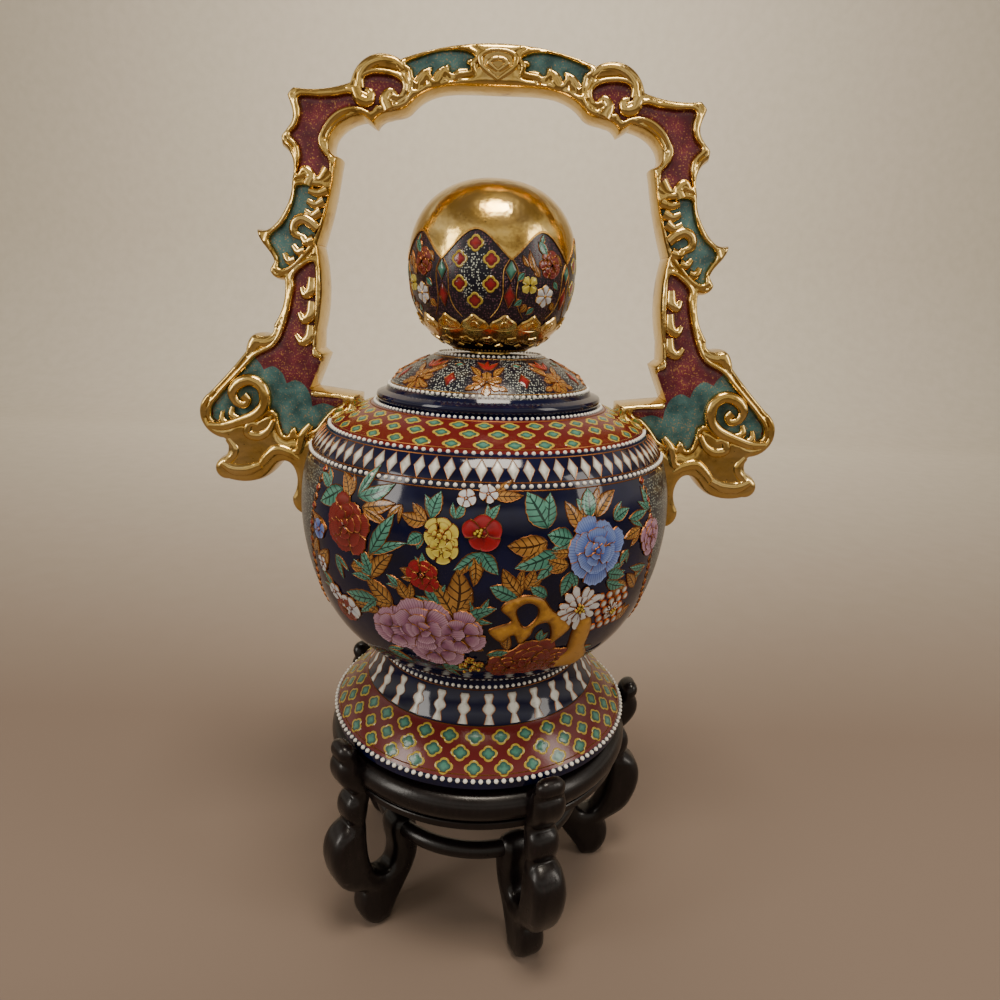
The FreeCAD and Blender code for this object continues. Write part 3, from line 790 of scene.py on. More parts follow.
def flower(pile, wall, azimuth, height, layers, base, turn, eye=0.0):
    """Layers of petals from the outside in. Each is (count, reach, petal length, width, scallops)."""
    for level, (count, reach, length, width, scallops) in enumerate(layers):
        for i in range(count):
            way = turn + (i + 0.5 * (level % 2) + hand.uniform(-0.12, 0.12)) * 360 / count
            grow = hand.uniform(0.86, 1.08)
            petal(pile, wall, azimuth, height, way, (reach - length) * grow, length * grow,
                  width * hand.uniform(0.9, 1.12), base + LAYER_RISE * level + 0.2 * (i % 2), scallops,
                  ENAMEL_DOME)
    if eye:
        cell(pile, wall, azimuth, height, lobed(eye, eye, 5, 0.2), 0.4, base + LAYER_RISE * len(layers) + 0.3)


print("each layer of petals lies", LAYER_RISE, "mm above the last")

# %% [markdown]
# ## The flowers on the belly
#
# One garden fills the front between the two handles, and the potter repeated it on the back. It is
# laid out here in degrees round the pot and millimetres of height: first the leaves, each
# with a smaller one that springs from the same place (a degree is about 2.3 mm round the belly), then
# the flowers that lie over them. Each colour of enamel was flooded in one go, so each is one piece.

# %% The leaves, as (azimuth and height of the base, azimuth and height of the tip, width)
TEAL_LEAVES = [
    # round the dark red peony, left
    (-34, 372, -23, 383, 10), (-40, 374, -50, 361, 13), (-29, 338, -22, 366, 10), (-29, 323, -32, 340, 9),
    (-29, 320, -36, 320, 6), (-42, 330, -40, 314, 6), (-28, 307, -40, 304, 11), (-46, 372, -52, 379, 8),
    # round the yellow rose and the red blossom, middle
    (-12, 366, -10, 382, 9), (-14, 356, -18, 349, 8), (-6, 367, -4, 377, 6), (1, 348, -6, 336, 9),
    (1, 348, 5, 334, 9), (-14, 336, -14, 345, 5), (2, 366, 5, 376, 6),
    # over the pink peony
    (-20, 319, -24, 327, 6), (-9, 304, -13, 313, 7), (-10, 310, -14, 325, 7), (-10, 312, -8, 326, 6),
    (-3, 304, 5, 311, 8), (-11, 261, -2, 255, 8), (-1, 300, 3, 318, 6),
    # round the blue peony, right
    (17, 362, 12, 383, 15), (20, 347, 9, 338, 12), (24, 354, 17, 358, 12), (29, 366, 29, 383, 12),
    (37, 362, 43, 367, 8), (43, 360, 52, 362, 7), (53, 361, 50, 378, 7), (24, 333, 22, 317, 9),
    (36, 327, 43, 322, 9), (36, 321, 44, 314, 8), (43, 340, 40, 331, 6), (54, 322, 45, 326, 6),
    # round the rock
    (10, 318, 3, 326, 11), (18, 318, 13, 326, 8), (3, 273, 11, 274, 7), (18, 283, 18, 293, 6),
    (-30, 264, -22, 258, 8), (30, 262, 40, 266, 8), (-46, 300, -52, 312, 7),
]
OCHRE_LEAVES = [
    (-32, 366, -22, 372, 10), (-37, 370, -41, 384, 9), (-13, 364, -20, 367, 9), (-1, 345, -1, 326, 8),
    (-29, 322, -22, 341, 10), (-28, 297, -38, 297, 9), (-23, 306, -31, 322, 12), (-18, 312, -21, 325, 8),
    (-6, 303, -5, 337, 16), (-5, 303, -1, 322, 9), (-46, 330, -51, 309, 8), (-46, 344, -54, 351, 8),
    (-5, 285, 2, 277, 8), (-16, 328, -20, 333, 6), (-36, 326, -31, 327, 6), (17, 354, 7, 352, 13),
    (26, 359, 22, 377, 9), (31, 366, 38, 380, 10), (48, 352, 41, 348, 7), (23, 338, 17, 343, 8),
    (50, 308, 44, 322, 8), (11, 320, 6, 338, 9), (12, 324, 14, 337, 8), (9, 277, 9, 290, 6),
    (3, 381, 11, 381, 7), (24, 346, 18, 347, 6), (40, 318, 46, 308, 7), (-20, 372, -24, 362, 5),
    (-52, 334, -56, 322, 7), (46, 284, 52, 292, 8),
]
SIDES = (0, 180)      # the front, and the same garden again on the back
DEGREE = 2.3          # mm round the belly
teal_pile, ochre_pile = Pile(), Pile()
for leaves, pile in ((TEAL_LEAVES, teal_pile), (OCHRE_LEAVES, ochre_pile)):
    for side in SIDES:
        for a, z, tip_a, tip_z, width in leaves:
            leaf(pile, belly_wall, a + side, z, tip_a + side, tip_z, width)
            across, up = tip_a - a, (tip_z - z) / DEGREE
            lean = hand.choice((-0.62, 0.62))
            a_side = a + (across * math.cos(lean) - up * math.sin(lean)) * 0.85
            z_side = z + (across * math.sin(lean) + up * math.cos(lean)) * 0.85 * DEGREE
            leaf(pile, belly_wall, a + side, z, a_side + side, z_side, width * 0.7, 0.05)
teal_pile.make("belly_teal_leaves", [line_copper, teal_leaf], "vase", "enamelled_body")
ochre_pile.make("belly_ochre_leaves", [line_copper, ochre_leaf], "vase", "enamelled_body")

# %% The flowers: peonies in many scalloped layers, a rose, blossoms and a daisy
FULL_PEONY = [(7, 1.0, 0.62, 0.8, 4), (6, 0.74, 0.5, 0.66, 3), (4, 0.5, 0.4, 0.52, 3),
              (3, 0.27, 0.25, 0.34, 2)]
ROSE = [(6, 1.0, 0.6, 0.85, 0), (5, 0.7, 0.45, 0.66, 0), (4, 0.42, 0.32, 0.42, 0)]
BLOSSOM = [(5, 1.0, 0.88, 1.02, 0)]
DAISY = [(13, 1.0, 0.8, 0.36, 0), (9, 0.62, 0.42, 0.3, 0)]


def sized(layers, radius):
    return [(n, reach * radius, length * radius, width * radius, edge)
            for n, reach, length, width, edge in layers]


def bloom(name, enamel, places):
    """Each place is (azimuth, height, radius, layers, eye)."""
    pile = Pile()
    for side in SIDES:
        for a, z, radius, layers, eye in places:
            flower(pile, belly_wall, a + side, z, sized(layers, radius), 0.8, 17 * radius, eye)
    pile.make(name, [line_copper, enamel], "vase", "enamelled_body")


bloom("belly_maroon_peonies", maroon_petal, [
    (-37.5, 352, 20, FULL_PEONY, 0), (10, 262, 15, FULL_PEONY[:3], 0), (25, 262, 14, FULL_PEONY[:3], 0),
    (17, 267, 20, FULL_PEONY, 0), (-43, 288, 11, BLOSSOM, 3)])
bloom("belly_scarlet_blossoms", scarlet_petal, [
    (1, 360, 12.5, BLOSSOM, 3.4), (-14, 331, 10, FULL_PEONY[:2], 2), (-12, 326, 6, BLOSSOM, 0)])
bloom("belly_yellow_rose", yellow, [
    (-9.5, 357, 11.5, ROSE, 2.5), (-9, 350, 10.5, ROSE[:2], 0), (-2, 267, 3.4, BLOSSOM, 1),
    (1, 263, 3.2, BLOSSOM, 1), (-4, 262, 3.2, BLOSSOM, 1), (-1, 259, 3.0, BLOSSOM, 1)])
bloom("belly_pink_peonies", pink_petal, [
    (-23, 287, 20, FULL_PEONY[:2], 0), (-5, 290, 19, FULL_PEONY[:2], 0), (-12, 277, 20, FULL_PEONY[:2], 0),
    (-15, 292, 26, FULL_PEONY, 2), (54, 343, 14, FULL_PEONY[:3], 2)])
bloom("belly_blue_peony", blue_petal, [
    (31, 345, 22.5, FULL_PEONY, 3), (-50, 342, 8, BLOSSOM, 2)])
bloom("belly_white_flowers", white_petal, [
    (-3.5, 379, 6, BLOSSOM, 1.5), (2, 382, 6, BLOSSOM, 1.5), (28, 306, 17, DAISY, 0),
    (-40, 292, 10, BLOSSOM, 2.5), (-46, 300, 7, BLOSSOM, 2), (-50, 318, 6, BLOSSOM, 2),
    (41, 297, 7, DAISY, 0)])

# %% Small things: berries, stamens, blossom eyes and the honeycomb of white cells
berries = Pile()
for side in SIDES:
    for a, z, count, reach in ((28, 306, 7, 3.6), (0, 360, 5, 2.4), (-2, 263, 8, 8.0), (41, 297, 5, 2.2)):
        for i in range(count):
            spread = reach * math.sqrt((i + 0.5) / count)
            across, up = spread * math.cos(2.4 * i), spread * math.sin(2.4 * i)
            height = float(np.interp(belly_wall.along(z) + up, belly_wall.s, belly_wall.z))
            azimuth = a + side + math.degrees(across / float(belly_wall.radius(height)))
            cell(berries, belly_wall, azimuth, height, lobed(1.5, 1.5, 6, 0.05, 10), 0.6, 2.6, 0, 1, 0.5)
berries.make("belly_yellow_berries", [line_copper, yellow], "vase", "enamelled_body")

cells = Pile()
for side in SIDES:
    for row in range(5):
        for column in range(4):
            a = 35.5 + 3.1 * column + 1.5 * (row % 2) + side
            cell(cells, belly_wall, a, 286 + 6.0 * row, lobed(3.4, 3.3, 6, 0.12, 18), 0.5, 0.5, 0, 1, 0.8)
orange_line = gold_line("piped_orange_gold_line", "#D0682A")
cells.make("belly_white_honeycomb", [orange_line, white], "vase", "enamelled_body")

# %% [markdown]
# ### The scholar's rock
#
# A pierced ochre rock stands under the blue peony. Its outline is too hollow to draw as a blade, so it
# is filled with triangles instead, packed closely along the outline where the slip bead rises. The
# same filling makes the handle and the stand's legs further down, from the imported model's outlines.

# %% Filling an outline with triangles
def evened(loop, spacing, corner=28):
    """The closed outline with even points along it, and every sharp corner kept."""
    p = np.array(loop, float)
    before, after = p - np.roll(p, 1, 0), np.roll(p, -1, 0) - p
    turn = np.degrees(np.abs(np.angle((after[:, 0] + 1j * after[:, 1]) / (before[:, 0] + 1j * before[:, 1]))))
    keep = list(np.nonzero(turn > corner)[0]) or [0]
    line = []
    for start, end in zip(keep, keep[1:] + [keep[0] + len(p)]):
        run = np.array([p[i % len(p)] for i in range(start, end + 1)])
        far = np.concatenate([[0], np.cumsum(np.linalg.norm(np.diff(run, axis=0), axis=1))])
        count = max(1, round(far[-1] / spacing))
        at = np.arange(count) * far[-1] / count
        line += list(np.stack([np.interp(at, far, run[:, 0]), np.interp(at, far, run[:, 1])], -1))
    return np.array(line)


def edges_of(loop):
    return np.stack([loop, np.roll(loop, -1, 0)], 1)


def distance(points, edges):
    """The distance from each point to the nearest of many short edges."""
    a, run = edges[:, 0], edges[:, 1] - edges[:, 0]
    size = np.maximum((run**2).sum(1), 1e-12)
    best = []
    for some in np.array_split(points, max(1, len(points) * len(edges) // 2000000)):
        to = some[:, None] - a
        share = np.clip((to * run).sum(2) / size, 0, 1)
        best.append(np.sqrt(((to - share[..., None] * run) ** 2).sum(2).min(1)))
    return np.concatenate(best)


def inside(points, loop):
    """Which points are inside a closed outline."""
    x, y = points[:, 0][:, None], points[:, 1][:, None]
    (ax, ay), (bx, by) = loop.T, np.roll(loop, -1, 0).T
    with np.errstate(divide="ignore", invalid="ignore"):
        crosses = ((ay > y) != (by > y)) & (x < (bx - ax) * (y - ay) / (by - ay) + ax)
    return crosses.sum(1) % 2 == 1


def facing_front(faces, points):
    """The same triangles as tuples, each wound anticlockwise as seen from the front."""
    a, b, c = (points[faces[:, i]] for i in range(3))
    area = (b[:, 0] - a[:, 0]) * (c[:, 1] - a[:, 1]) - (c[:, 0] - a[:, 0]) * (b[:, 1] - a[:, 1])
    return [tuple(f if turn > 0 else f[::-1]) for f, turn in zip(faces.tolist(), area)]


print("a 10 mm square, evened to 2 mm:", len(evened([(0, 0), (10, 0), (10, 10), (0, 10)], 2)), "points")

# %% The triangles themselves
CROWDED = 0.45      # mm; of two loose points closer than about this, one is dropped
ROW_STEP = 0.87     # the height of a triangle with equal sides, for sides of 1


def filled(loops, spacing, insets, within, creases=()):
    """Triangles over all the outlines, with every outline and crease kept as edges."""
    all_edges = np.concatenate([edges_of(loop) for loop in loops])
    extra = []
    for loop in loops:
        run = np.roll(loop, -1, 0) - np.roll(loop, 1, 0)
        size = np.maximum(np.linalg.norm(run, axis=1), 1e-9)[:, None]
        for inset in insets:
            for side in (-1, 1):
                ring = loop + side * inset * np.stack([-run[:, 1], run[:, 0]], -1) / size
                extra.append(ring[distance(ring, all_edges) > inset * 0.93])
    low, high = all_edges.min((0, 1)), all_edges.max((0, 1))
    across, up = np.arange(low[0], high[0], spacing), np.arange(low[1], high[1], spacing * ROW_STEP)
    net = np.array([(x + spacing / 2 * (row % 2), y) for row, y in enumerate(up) for x in across])
    net = net[np.any([inside(net, loop) for loop in within], axis=0)]
    extra.append(net[distance(net, all_edges) > max(insets) + spacing * 0.4])
    extra = np.concatenate(extra)
    extra = extra[np.any([inside(extra, loop) for loop in within], axis=0)]
    seen, kept = set(), []
    for x, y in extra:
        key = (round(x / CROWDED), round(y / CROWDED))
        if key not in seen:
            seen.add(key)
            kept.append((x, y))
    corners, faces = [], []
    for loop in loops:
        faces.append(list(range(len(corners), len(corners) + len(loop))))
        corners += [tuple(q) for q in loop]
    edges = []
    for line in creases:
        edges += [(len(corners) + i, len(corners) + i + 1) for i in range(len(line) - 1)]
        corners += [tuple(q) for q in line]
    made = geometry.delaunay_2d_cdt([Vector(q) for q in corners + kept], edges, faces, 1, 1e-4)
    points, faces = np.array([tuple(v) for v in made[0]]), np.array([tuple(f) for f in made[2]])
    middles = points[faces].mean(1)
    return points, faces[np.any([inside(middles, loop) for loop in within], axis=0)]

# %% The rock, its stalk and the ground under it, as raised ochre cells
ROCK = [(6, 310), (8, 317), (12, 320), (17, 317), (20, 308), (26, 296), (27, 291), (24, 283), (21, 278),
        (21, 288), (19, 298), (16, 296), (15, 289), (12, 282), (10, 290), (7, 284), (3, 294), (6, 298),
        (9, 301), (8, 305)]
ROCK_HOLE = [(10.5, 310), (13, 314), (15.5, 311), (16, 304), (13, 296), (11, 303)]
STALK = [(29, 297), (33, 297), (35, 288), (36, 271), (40, 258), (38, 248), (31, 250), (25, 254), (24, 264),
         (28, 270), (28, 286)]
ROCK_RADIUS = 128      # mm; turns a degree of azimuth into a width
rock_slip = fired_enamel("ochre_rock_enamel", "#7A5018", "#B98634", roughness=0.3)
rocks = Pile()
for outline, hole in ((ROCK, ROCK_HOLE), (STALK, None)):
    loops = [evened(curve_line([(math.radians(a) * ROCK_RADIUS, float(belly_wall.along(z)))
                                for a, z in places], 5, closed=True), 1.4)
             for places in (outline, hole) if places]
    points, faces = filled(loops, 3.0, (BEAD_WIDTH / 2, BEAD_WIDTH, 2.2), loops[:1])
    inset = distance(points, np.concatenate([edges_of(loop) for loop in loops]))
    lift = cell_height(inset, np.full(len(points), 6.0), 1.6) + 0.5
    for opening in loops[1:]:
        faces = faces[~inside(points[faces].mean(1), opening)]
    faces = facing_front(faces, points)
    paint = [0 if max(inset[list(f)]) < BEAD_WIDTH * 1.05 else 1 for f in faces]
    marks = np.stack([np.clip(inset / 5, 0, 1), inset * 0, inset * 0], -1)
    for side in SIDES:
        rocks.add(belly_wall.point(np.degrees(points[:, 0] / ROCK_RADIUS) + side, points[:, 1], lift),
                  faces, paint, marks)
rocks.make("belly_ochre_rock", [line_copper, rock_slip], "vase", "enamelled_body")

# %% The dotted panels under the two handles, with a red and ochre braid down each edge
panels, braids = Pile(), Pile()
heights = np.linspace(262, 383, 34)
half_panel = np.interp(heights, [262, 300, 340, 383], [20, 31, 34, 39])
edge_column = np.array([-1, -0.985, *np.linspace(-0.96, 0.96, 25), 0.985, 1])
lift = np.where(np.abs(edge_column) == 1, SUNK, 0.25)
for side in (90, 270):
    azimuths = side + half_panel[:, None] * edge_column
    along = np.repeat(belly_wall.along(heights)[:, None], len(edge_column), 1)
    lifts = np.repeat(lift[None], len(heights), 0)
    lifts[[0, -1]] = SUNK
    panels.add(belly_wall.point(azimuths, along, lifts).reshape(-1, 3),
               grid_faces(len(heights), len(edge_column)))
    for way in (-1, 1):
        for i, height in enumerate(np.arange(266, 382, 6.4)):
            half = float(np.interp(height, heights, half_panel))
            cell(braids, belly_wall, side + way * half, height, lobed(2.9, 3.2, 4, 0.2, 12), 0.6, 0.3, 0,
                 1 + i % 2, 0.8)
panels.make("side_dotted_panels", [side_ground], "vase", "enamelled_body")
braids.make("side_panel_braids", [line_copper, red_dot, ochre_leaf], "vase", "enamelled_body")

# %% The foot's white balusters, thirty round its blue band
BALUSTERS = 30


def baluster_side(t):
    """Half the baluster's width from its wide foot up to its cap."""
    return float(np.interp(t, [0, 0.1, 0.3, 0.42, 0.55, 0.68, 0.78, 0.9, 1.0],
                           [4.2, 3.6, 2.2, 5.0, 5.2, 2.4, 3.2, 4.2, 3.0]))


balusters = Pile()
shape = blade(22, baluster_side, 14, lambda a: 1 + 0 * a)
for i in range(BALUSTERS):
    lay_blade(balusters, foot_wall, (i + 0.5) * 360 / BALUSTERS, 199.2, 0, 0, shape, 0.0, 0.35)
balusters.make("foot_white_balusters", [line_copper, white], "vase", "enamelled_foot")

# %% [markdown]
# ## The lid and the ball
#
# The dome repeats one eighth of a pattern round its axis: an ochre flower, red and teal rhombs beside
# it, and red leaves above. The ball has eight arched panels that alternate between a ring of
# quatrefoils and a bouquet, under a gold cap whose points hang down between the arches.

# %% The dome's flowers and rhombs
EIGHTHS = [45 * i for i in range(8)]
DOME_FLOWER = [(6, 1.0, 0.76, 0.66, 2), (5, 0.55, 0.45, 0.4, 0)]
dome_ochre, dome_red, dome_teal = Pile(), Pile(), Pile()
for turn in EIGHTHS:
    flower(dome_ochre, lid_wall, turn, 438.6, sized(DOME_FLOWER, 11.0), 0.1, turn, 1.8)
    for way in (-1, 1):
        leaf(dome_ochre, lid_wall, turn + way * 4, 442, turn + way * 12, 447.5, 5.0, 0.1)
        leaf(dome_ochre, lid_wall, turn + way * 6, 436, turn + way * 11.5, 434, 4.5, 0.1)
    cell(dome_red, lid_wall, turn + 22.5, 440.0, rhomb(4.6, 7.4), 0.5, bead_width=0.7)
    cell(dome_teal, lid_wall, turn + 22.5, 448.4, rhomb(4.2, 3.4), 0.5, bead_width=0.6)
    for way in (-1, 0, 1):
        leaf(dome_red, lid_wall, turn, 445.5, turn + way * 8, 450.8 - abs(way), 4.6, 0.15)
for pile, name, enamel in ((dome_ochre, "lid_ochre_flowers", ochre_leaf),
                           (dome_red, "lid_red_rhombs", red_dot), (dome_teal, "lid_teal_squares", teal_dot)):
    pile.make(name, [line_copper, enamel], "lid", "enamelled_lid")

# %% The gold cap, with points that hang between the arches
POINT_HEIGHT, ARCH_HEIGHT, CAP_TOP = 516.5, 534.4, 570.96


def arch_edge(azimuth):
    """The height of the cap's edge: high over each arch, down to a point between arches."""
    turn = abs((azimuth - FIRST_ARCH + 22.5) % 45 - 22.5) / 22.5
    share = 0.5 * (1 - turn**2) + 0.25 * (1 + math.cos(math.pi * turn))
    return POINT_HEIGHT + (ARCH_HEIGHT - POINT_HEIGHT) * share


def skirted(wall, azimuths, low, high, lift, rows):
    """A closed band laid on the wall between two lines of heights, its edges turned down into it."""
    shares = np.concatenate([[0, 0], np.linspace(0.02, 0.98, rows), [1, 1]])
    a_low, a_high = wall.along(low), wall.along(high)
    along = a_low + (a_high - a_low) * shares[:, None]
    lifts = np.full(len(shares), lift)
    lifts[[0, -1]], lifts[[1, -2]] = ROOT, lift * 0.8
    points = wall.point(azimuths[None, :], along, lifts[:, None] + np.zeros_like(along))
    return points.reshape(-1, 3), grid_faces(len(shares), len(azimuths), True)


# half a panel's width in degrees, and the height, from the cap's point down to the calyx
PANEL_SIDE = [(22.0, 517.0), (18.2, 510), (17.8, 502), (18.0, 494), (15.5, 486), (10.5, 480)]
fine = np.arange(0, 360, 0.75)
cap, edge_line = Pile(), Pile()
low = np.array([arch_edge(a) for a in fine])
cap.add(*skirted(ball_wall, fine, low, np.full(len(fine), CAP_TOP), 0.45, 26))
cap.make("ball_gold_cap", [lustre], "lid", "enamelled_ball", weld=True)
edge_line.add(*skirted(ball_wall, fine, low - 1.1, low + 0.2, 0.75, 3))
for turn in EIGHTHS:      # the gold line that closes each panel below, from point to point
    centre = FIRST_ARCH + turn
    for way in (-1, 1):
        places = np.array(curve_line([(centre + way * out, height) for out, height in PANEL_SIDE], 5))
        along = ball_wall.along(places[:, 1])
        rows = [ball_wall.point(places[:, 0] + way * shift, along, rise)
                for shift, rise in ((-0.45, SUNK), (-0.3, 0.3), (0, 0.45), (0.3, 0.3), (0.45, SUNK))]
        faces = grid_faces(5, len(places))
        edge_line.add(np.concatenate(rows), [f[::-way] for f in faces])
edge_line.make("ball_panel_lines", [line_gold], "lid", "enamelled_ball")

# %% The ball's quatrefoils, rhombs and bouquets
BALL_TEAL_LEAVES = [(-4, 528, 3, 519, 6.5), (-14, 508.5, -18, 503, 5), (-14, 492, -19, 488, 5),
                    (-4, 487, -9, 482.5, 5), (9, 504, 14, 499, 5), (0, 532, -3, 526, 4)]
BALL_OCHRE_LEAVES = [(-6, 509, -10.5, 522, 5), (-11, 512, -15.5, 519, 4), (-10, 489, -14, 484, 5),
                     (11, 521, 16, 514, 4.5), (10, 491, 15, 486, 5), (-3, 506, -7, 514, 5)]
ball_yellow, ball_red, ball_teal, ball_white, ball_ochre = [Pile() for _ in range(5)]
for quarter in range(4):
    ring_panel = FIRST_ARCH + 90 * quarter
    for way, height in ((0, 525.2), (-1, 515.6), (1, 515.6), (-1, 500.6), (1, 500.6), (0, 490.4)):
        cell(ball_yellow, ball_wall, ring_panel + way * 10, height, quatrefoil(5.8, 5.8), 0.4, 0.1,
             bead_width=1.7)
    posy = ring_panel + 45
    flower(ball_red, ball_wall, posy + 5.5, 514, sized(FULL_PEONY[:3], 9.2), 0.3, 9)
    for turn in range(4):
        petal(ball_yellow, ball_wall, posy - 9.5, 501, 45 + 90 * turn, 0.8, 5.4, 6.0, 0.3, 2, 0.5, 0, 0)
    for turn in range(6):
        petal(ball_white, ball_wall, posy + 3, 494.5, 60 * turn, 0.8, 6.6, 6.0, 0.4, 2, 0.5)
    cell(ball_white, ball_wall, posy + 3, 494.5, lobed(1.3, 1.3, 5, 0.1, 10), 0.5, 1.1, 0, 0, 0.5)
    for pile, leaves in ((ball_teal, BALL_TEAL_LEAVES), (ball_ochre, BALL_OCHRE_LEAVES)):
        for a, z, tip_a, tip_z, width in leaves:
            leaf(pile, ball_wall, posy + a, z, posy + tip_a, tip_z, width, 0.1)
for turn in EIGHTHS:
    point = FIRST_ARCH + 22.5 + turn
    cell(ball_teal, ball_wall, point, 509.4, rhomb(4.2, 7.4), 0.6, 0.2, 0, 2, bead_width=0.7)
    cell(ball_red, ball_wall, point, 493.4, rhomb(4.2, 8.2), 0.6, 0.2, 0, 2, bead_width=0.7)
for pile, name, finishes in ((ball_yellow, "ball_quatrefoils", [yellow, red_dot]),
                             (ball_red, "ball_red_enamel", [line_copper, maroon_petal, red_dot]),
                             (ball_teal, "ball_teal_enamel", [line_copper, teal_leaf, teal_dot]),
                             (ball_white, "ball_white_flowers", [line_gold, white_petal]),
                             (ball_ochre, "ball_ochre_leaves", [line_copper, ochre_leaf])):
    pile.make(name, finishes, "lid", "enamelled_ball")

# %% The gilt calyx: sixteen petals raised in slip round the ball's base
CALYX_PETALS = 16
CALYX_ARCH = [(-9.6, 0.4), (-8.4, 4.6), (-4.2, 7.4), (0, 10.6), (4.2, 7.4), (8.4, 4.6), (9.6, 0.4), (5, -1.4),
              (0, -1.9), (-5, -1.4)]
calyx = Pile()
petal_turn = (fine * CALYX_PETALS / 360) % 1.0
petal_rise = 473.6 + 8.0 * (1 - np.abs(2 * petal_turn - 1) ** 1.4)
calyx.add(*skirted(ball_wall, fine, np.full(len(fine), 456.6), petal_rise, 1.2, 12), 1)
arch = curve_line(CALYX_ARCH[::-1], 3, closed=True)
trefoil = lobed(3.6, 3.8, 3, 0.2, 16, math.pi / 2)
for i in range(CALYX_PETALS):
    azimuth = (i + 0.5) * 360 / CALYX_PETALS
    cell(calyx, ball_wall, azimuth, 473.4, arch, 0.5, 1.1, 0, 0, 1.5)
    cell(calyx, ball_wall, azimuth, 475.4, trefoil, 0.6, 1.5, 0, 1, 1.0)
calyx.make("ball_gilt_calyx", [lustre, amber_lustre], "lid", "gilt_ceramic", ["finial_petal_cup"])
amber = Pile()
for i in range(CALYX_PETALS):
    cell(amber, ball_wall, i * 360 / CALYX_PETALS, 465.6, lobed(5.4, 4.6, 5, 0.3, 20), 0.5, 1.5, 0, 1)
    cell(amber, ball_wall, (i + 0.5) * 360 / CALYX_PETALS, 462.2, rhomb(3.0, 2.6), 0.5, 1.4, 0, 1, 0.7)
amber.make("ball_amber_posies", [lustre, amber_lustre], "lid", "gilt_ceramic")
GADROONS = 64
neck_stripes = Pile()
for i in range(GADROONS):
    cell(neck_stripes, ball_wall, i * 360 / GADROONS, 458.0, lobed(0.9, 1.9, 4, 0.0, 12), 0.4, 1.3, 0, 0, 0.6)
neck_stripes.make("ball_neck_gadroons", [line_gold], "lid", "gilt_ceramic")

# %% [markdown]
# ## The moulded handle
#
# The handle was slip-cast in a two-part mould: rims that stand up like rope round sunken panels, and
# little commas and curls inside them. All of it is gilt but the panels, which are washed with maroon
# and teal enamel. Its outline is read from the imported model, so the two can't drift apart. Its relief
# depends on two distances, to the outline and to the nearest panel: near either, the surface falls
# away in a quarter round.

# %% The handle's outline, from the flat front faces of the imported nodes
def front_outline(node, flatten=None):
    """The outline, in mm (x, z), of the face furthest towards -Y. The mesh may be turned first."""
    mesh = frame["nodes"][node].data
    places = np.array([v.co for v in mesh.vertices])
    if flatten is not None:
        places = places @ np.array(flatten.to_3x3().transposed())
    places = places / MM
    at_front = places[:, 1] < places[:, 1].min() + 0.02
    keys = [tuple(np.round(p[[0, 2]], 2)) for p in places]
    once = set()
    for polygon in mesh.polygons:
        corners = list(polygon.vertices)
        if all(at_front[c] for c in corners):
            for a, b in zip(corners, corners[1:] + corners[:1]):
                if (keys[b], keys[a]) in once:
                    once.remove((keys[b], keys[a]))
                elif keys[a] != keys[b]:
                    once.add((keys[a], keys[b]))
    after = dict(once)
    line = [next(iter(after))]
    while after[line[-1]] != line[0]:
        line.append(after[line[-1]])
    return np.array(line)


SECTIONS = ["bridge"] + [p + side for side in ("_right", "_left")
                         for p in ("corner", "side", "leg", "shoulder", "bracket")]
outlines = [evened(front_outline("handle_" + s), 1.6) for s in SECTIONS]
print("sections:", {s: len(o) for s, o in zip(SECTIONS, outlines)})

# %% The sunken panels, on the right half; the left is its mirror image
BRIDGE_PANEL = [(15, 642), (22, 645), (30, 645.6), (38, 644.8), (47, 642.4), (54, 639.9), (60, 637.2),
                (56, 634.6), (55, 631), (54, 627.4), (51.5, 628.4), (49.5, 632), (46, 634.8), (42.5, 635.6),
                (43.6, 632.4), (42, 629), (40, 629.6), (38, 633.2), (34.6, 637.2), (31.6, 637.6),
                (31.4, 634.6), (29.4, 632.6), (26.5, 634), (20.4, 634.8), (17.5, 636), (21, 638.5), (20, 641)]
CORNER_PANEL = [(62.6, 624), (66, 628), (75, 630), (84, 629.5), (89, 626), (89.5, 621.5), (85, 619.5),
                (83.4, 616.5), (87, 614.4), (93, 615.3), (97, 617.9), (107, 616.3), (118, 615.4),
                (131, 615), (130, 608.7), (130.3, 603.8), (133.4, 597), (137.4, 593), (132.3, 586.8),
                (131, 579.7), (133.6, 569), (129, 571.4), (126, 571.6), (124.5, 567), (117, 566.6),
                (113, 570.5), (112.8, 578), (117, 582.6), (119.6, 590.4), (116.5, 597.3), (111.6, 604.1),
                (104.4, 609.3), (95, 611.6), (88, 610.4), (83.6, 608.7), (80, 612.4), (74, 613),
                (73, 617.5), (68.4, 620.4), (65.5, 619)]
SIDE_PANEL = [(128.6, 561.3), (134.3, 560.5), (136.6, 552.2), (140.5, 543.3), (146, 535.2), (153, 529.5),
              (155, 525.5), (152, 520), (149, 514), (149, 508), (145.6, 507.8), (139.4, 511.6),
              (132.8, 518.4), (126.5, 525.4), (122, 533), (118.8, 541.5), (116, 549.9), (114, 557.2),
              (116, 560), (121.4, 560.5)]
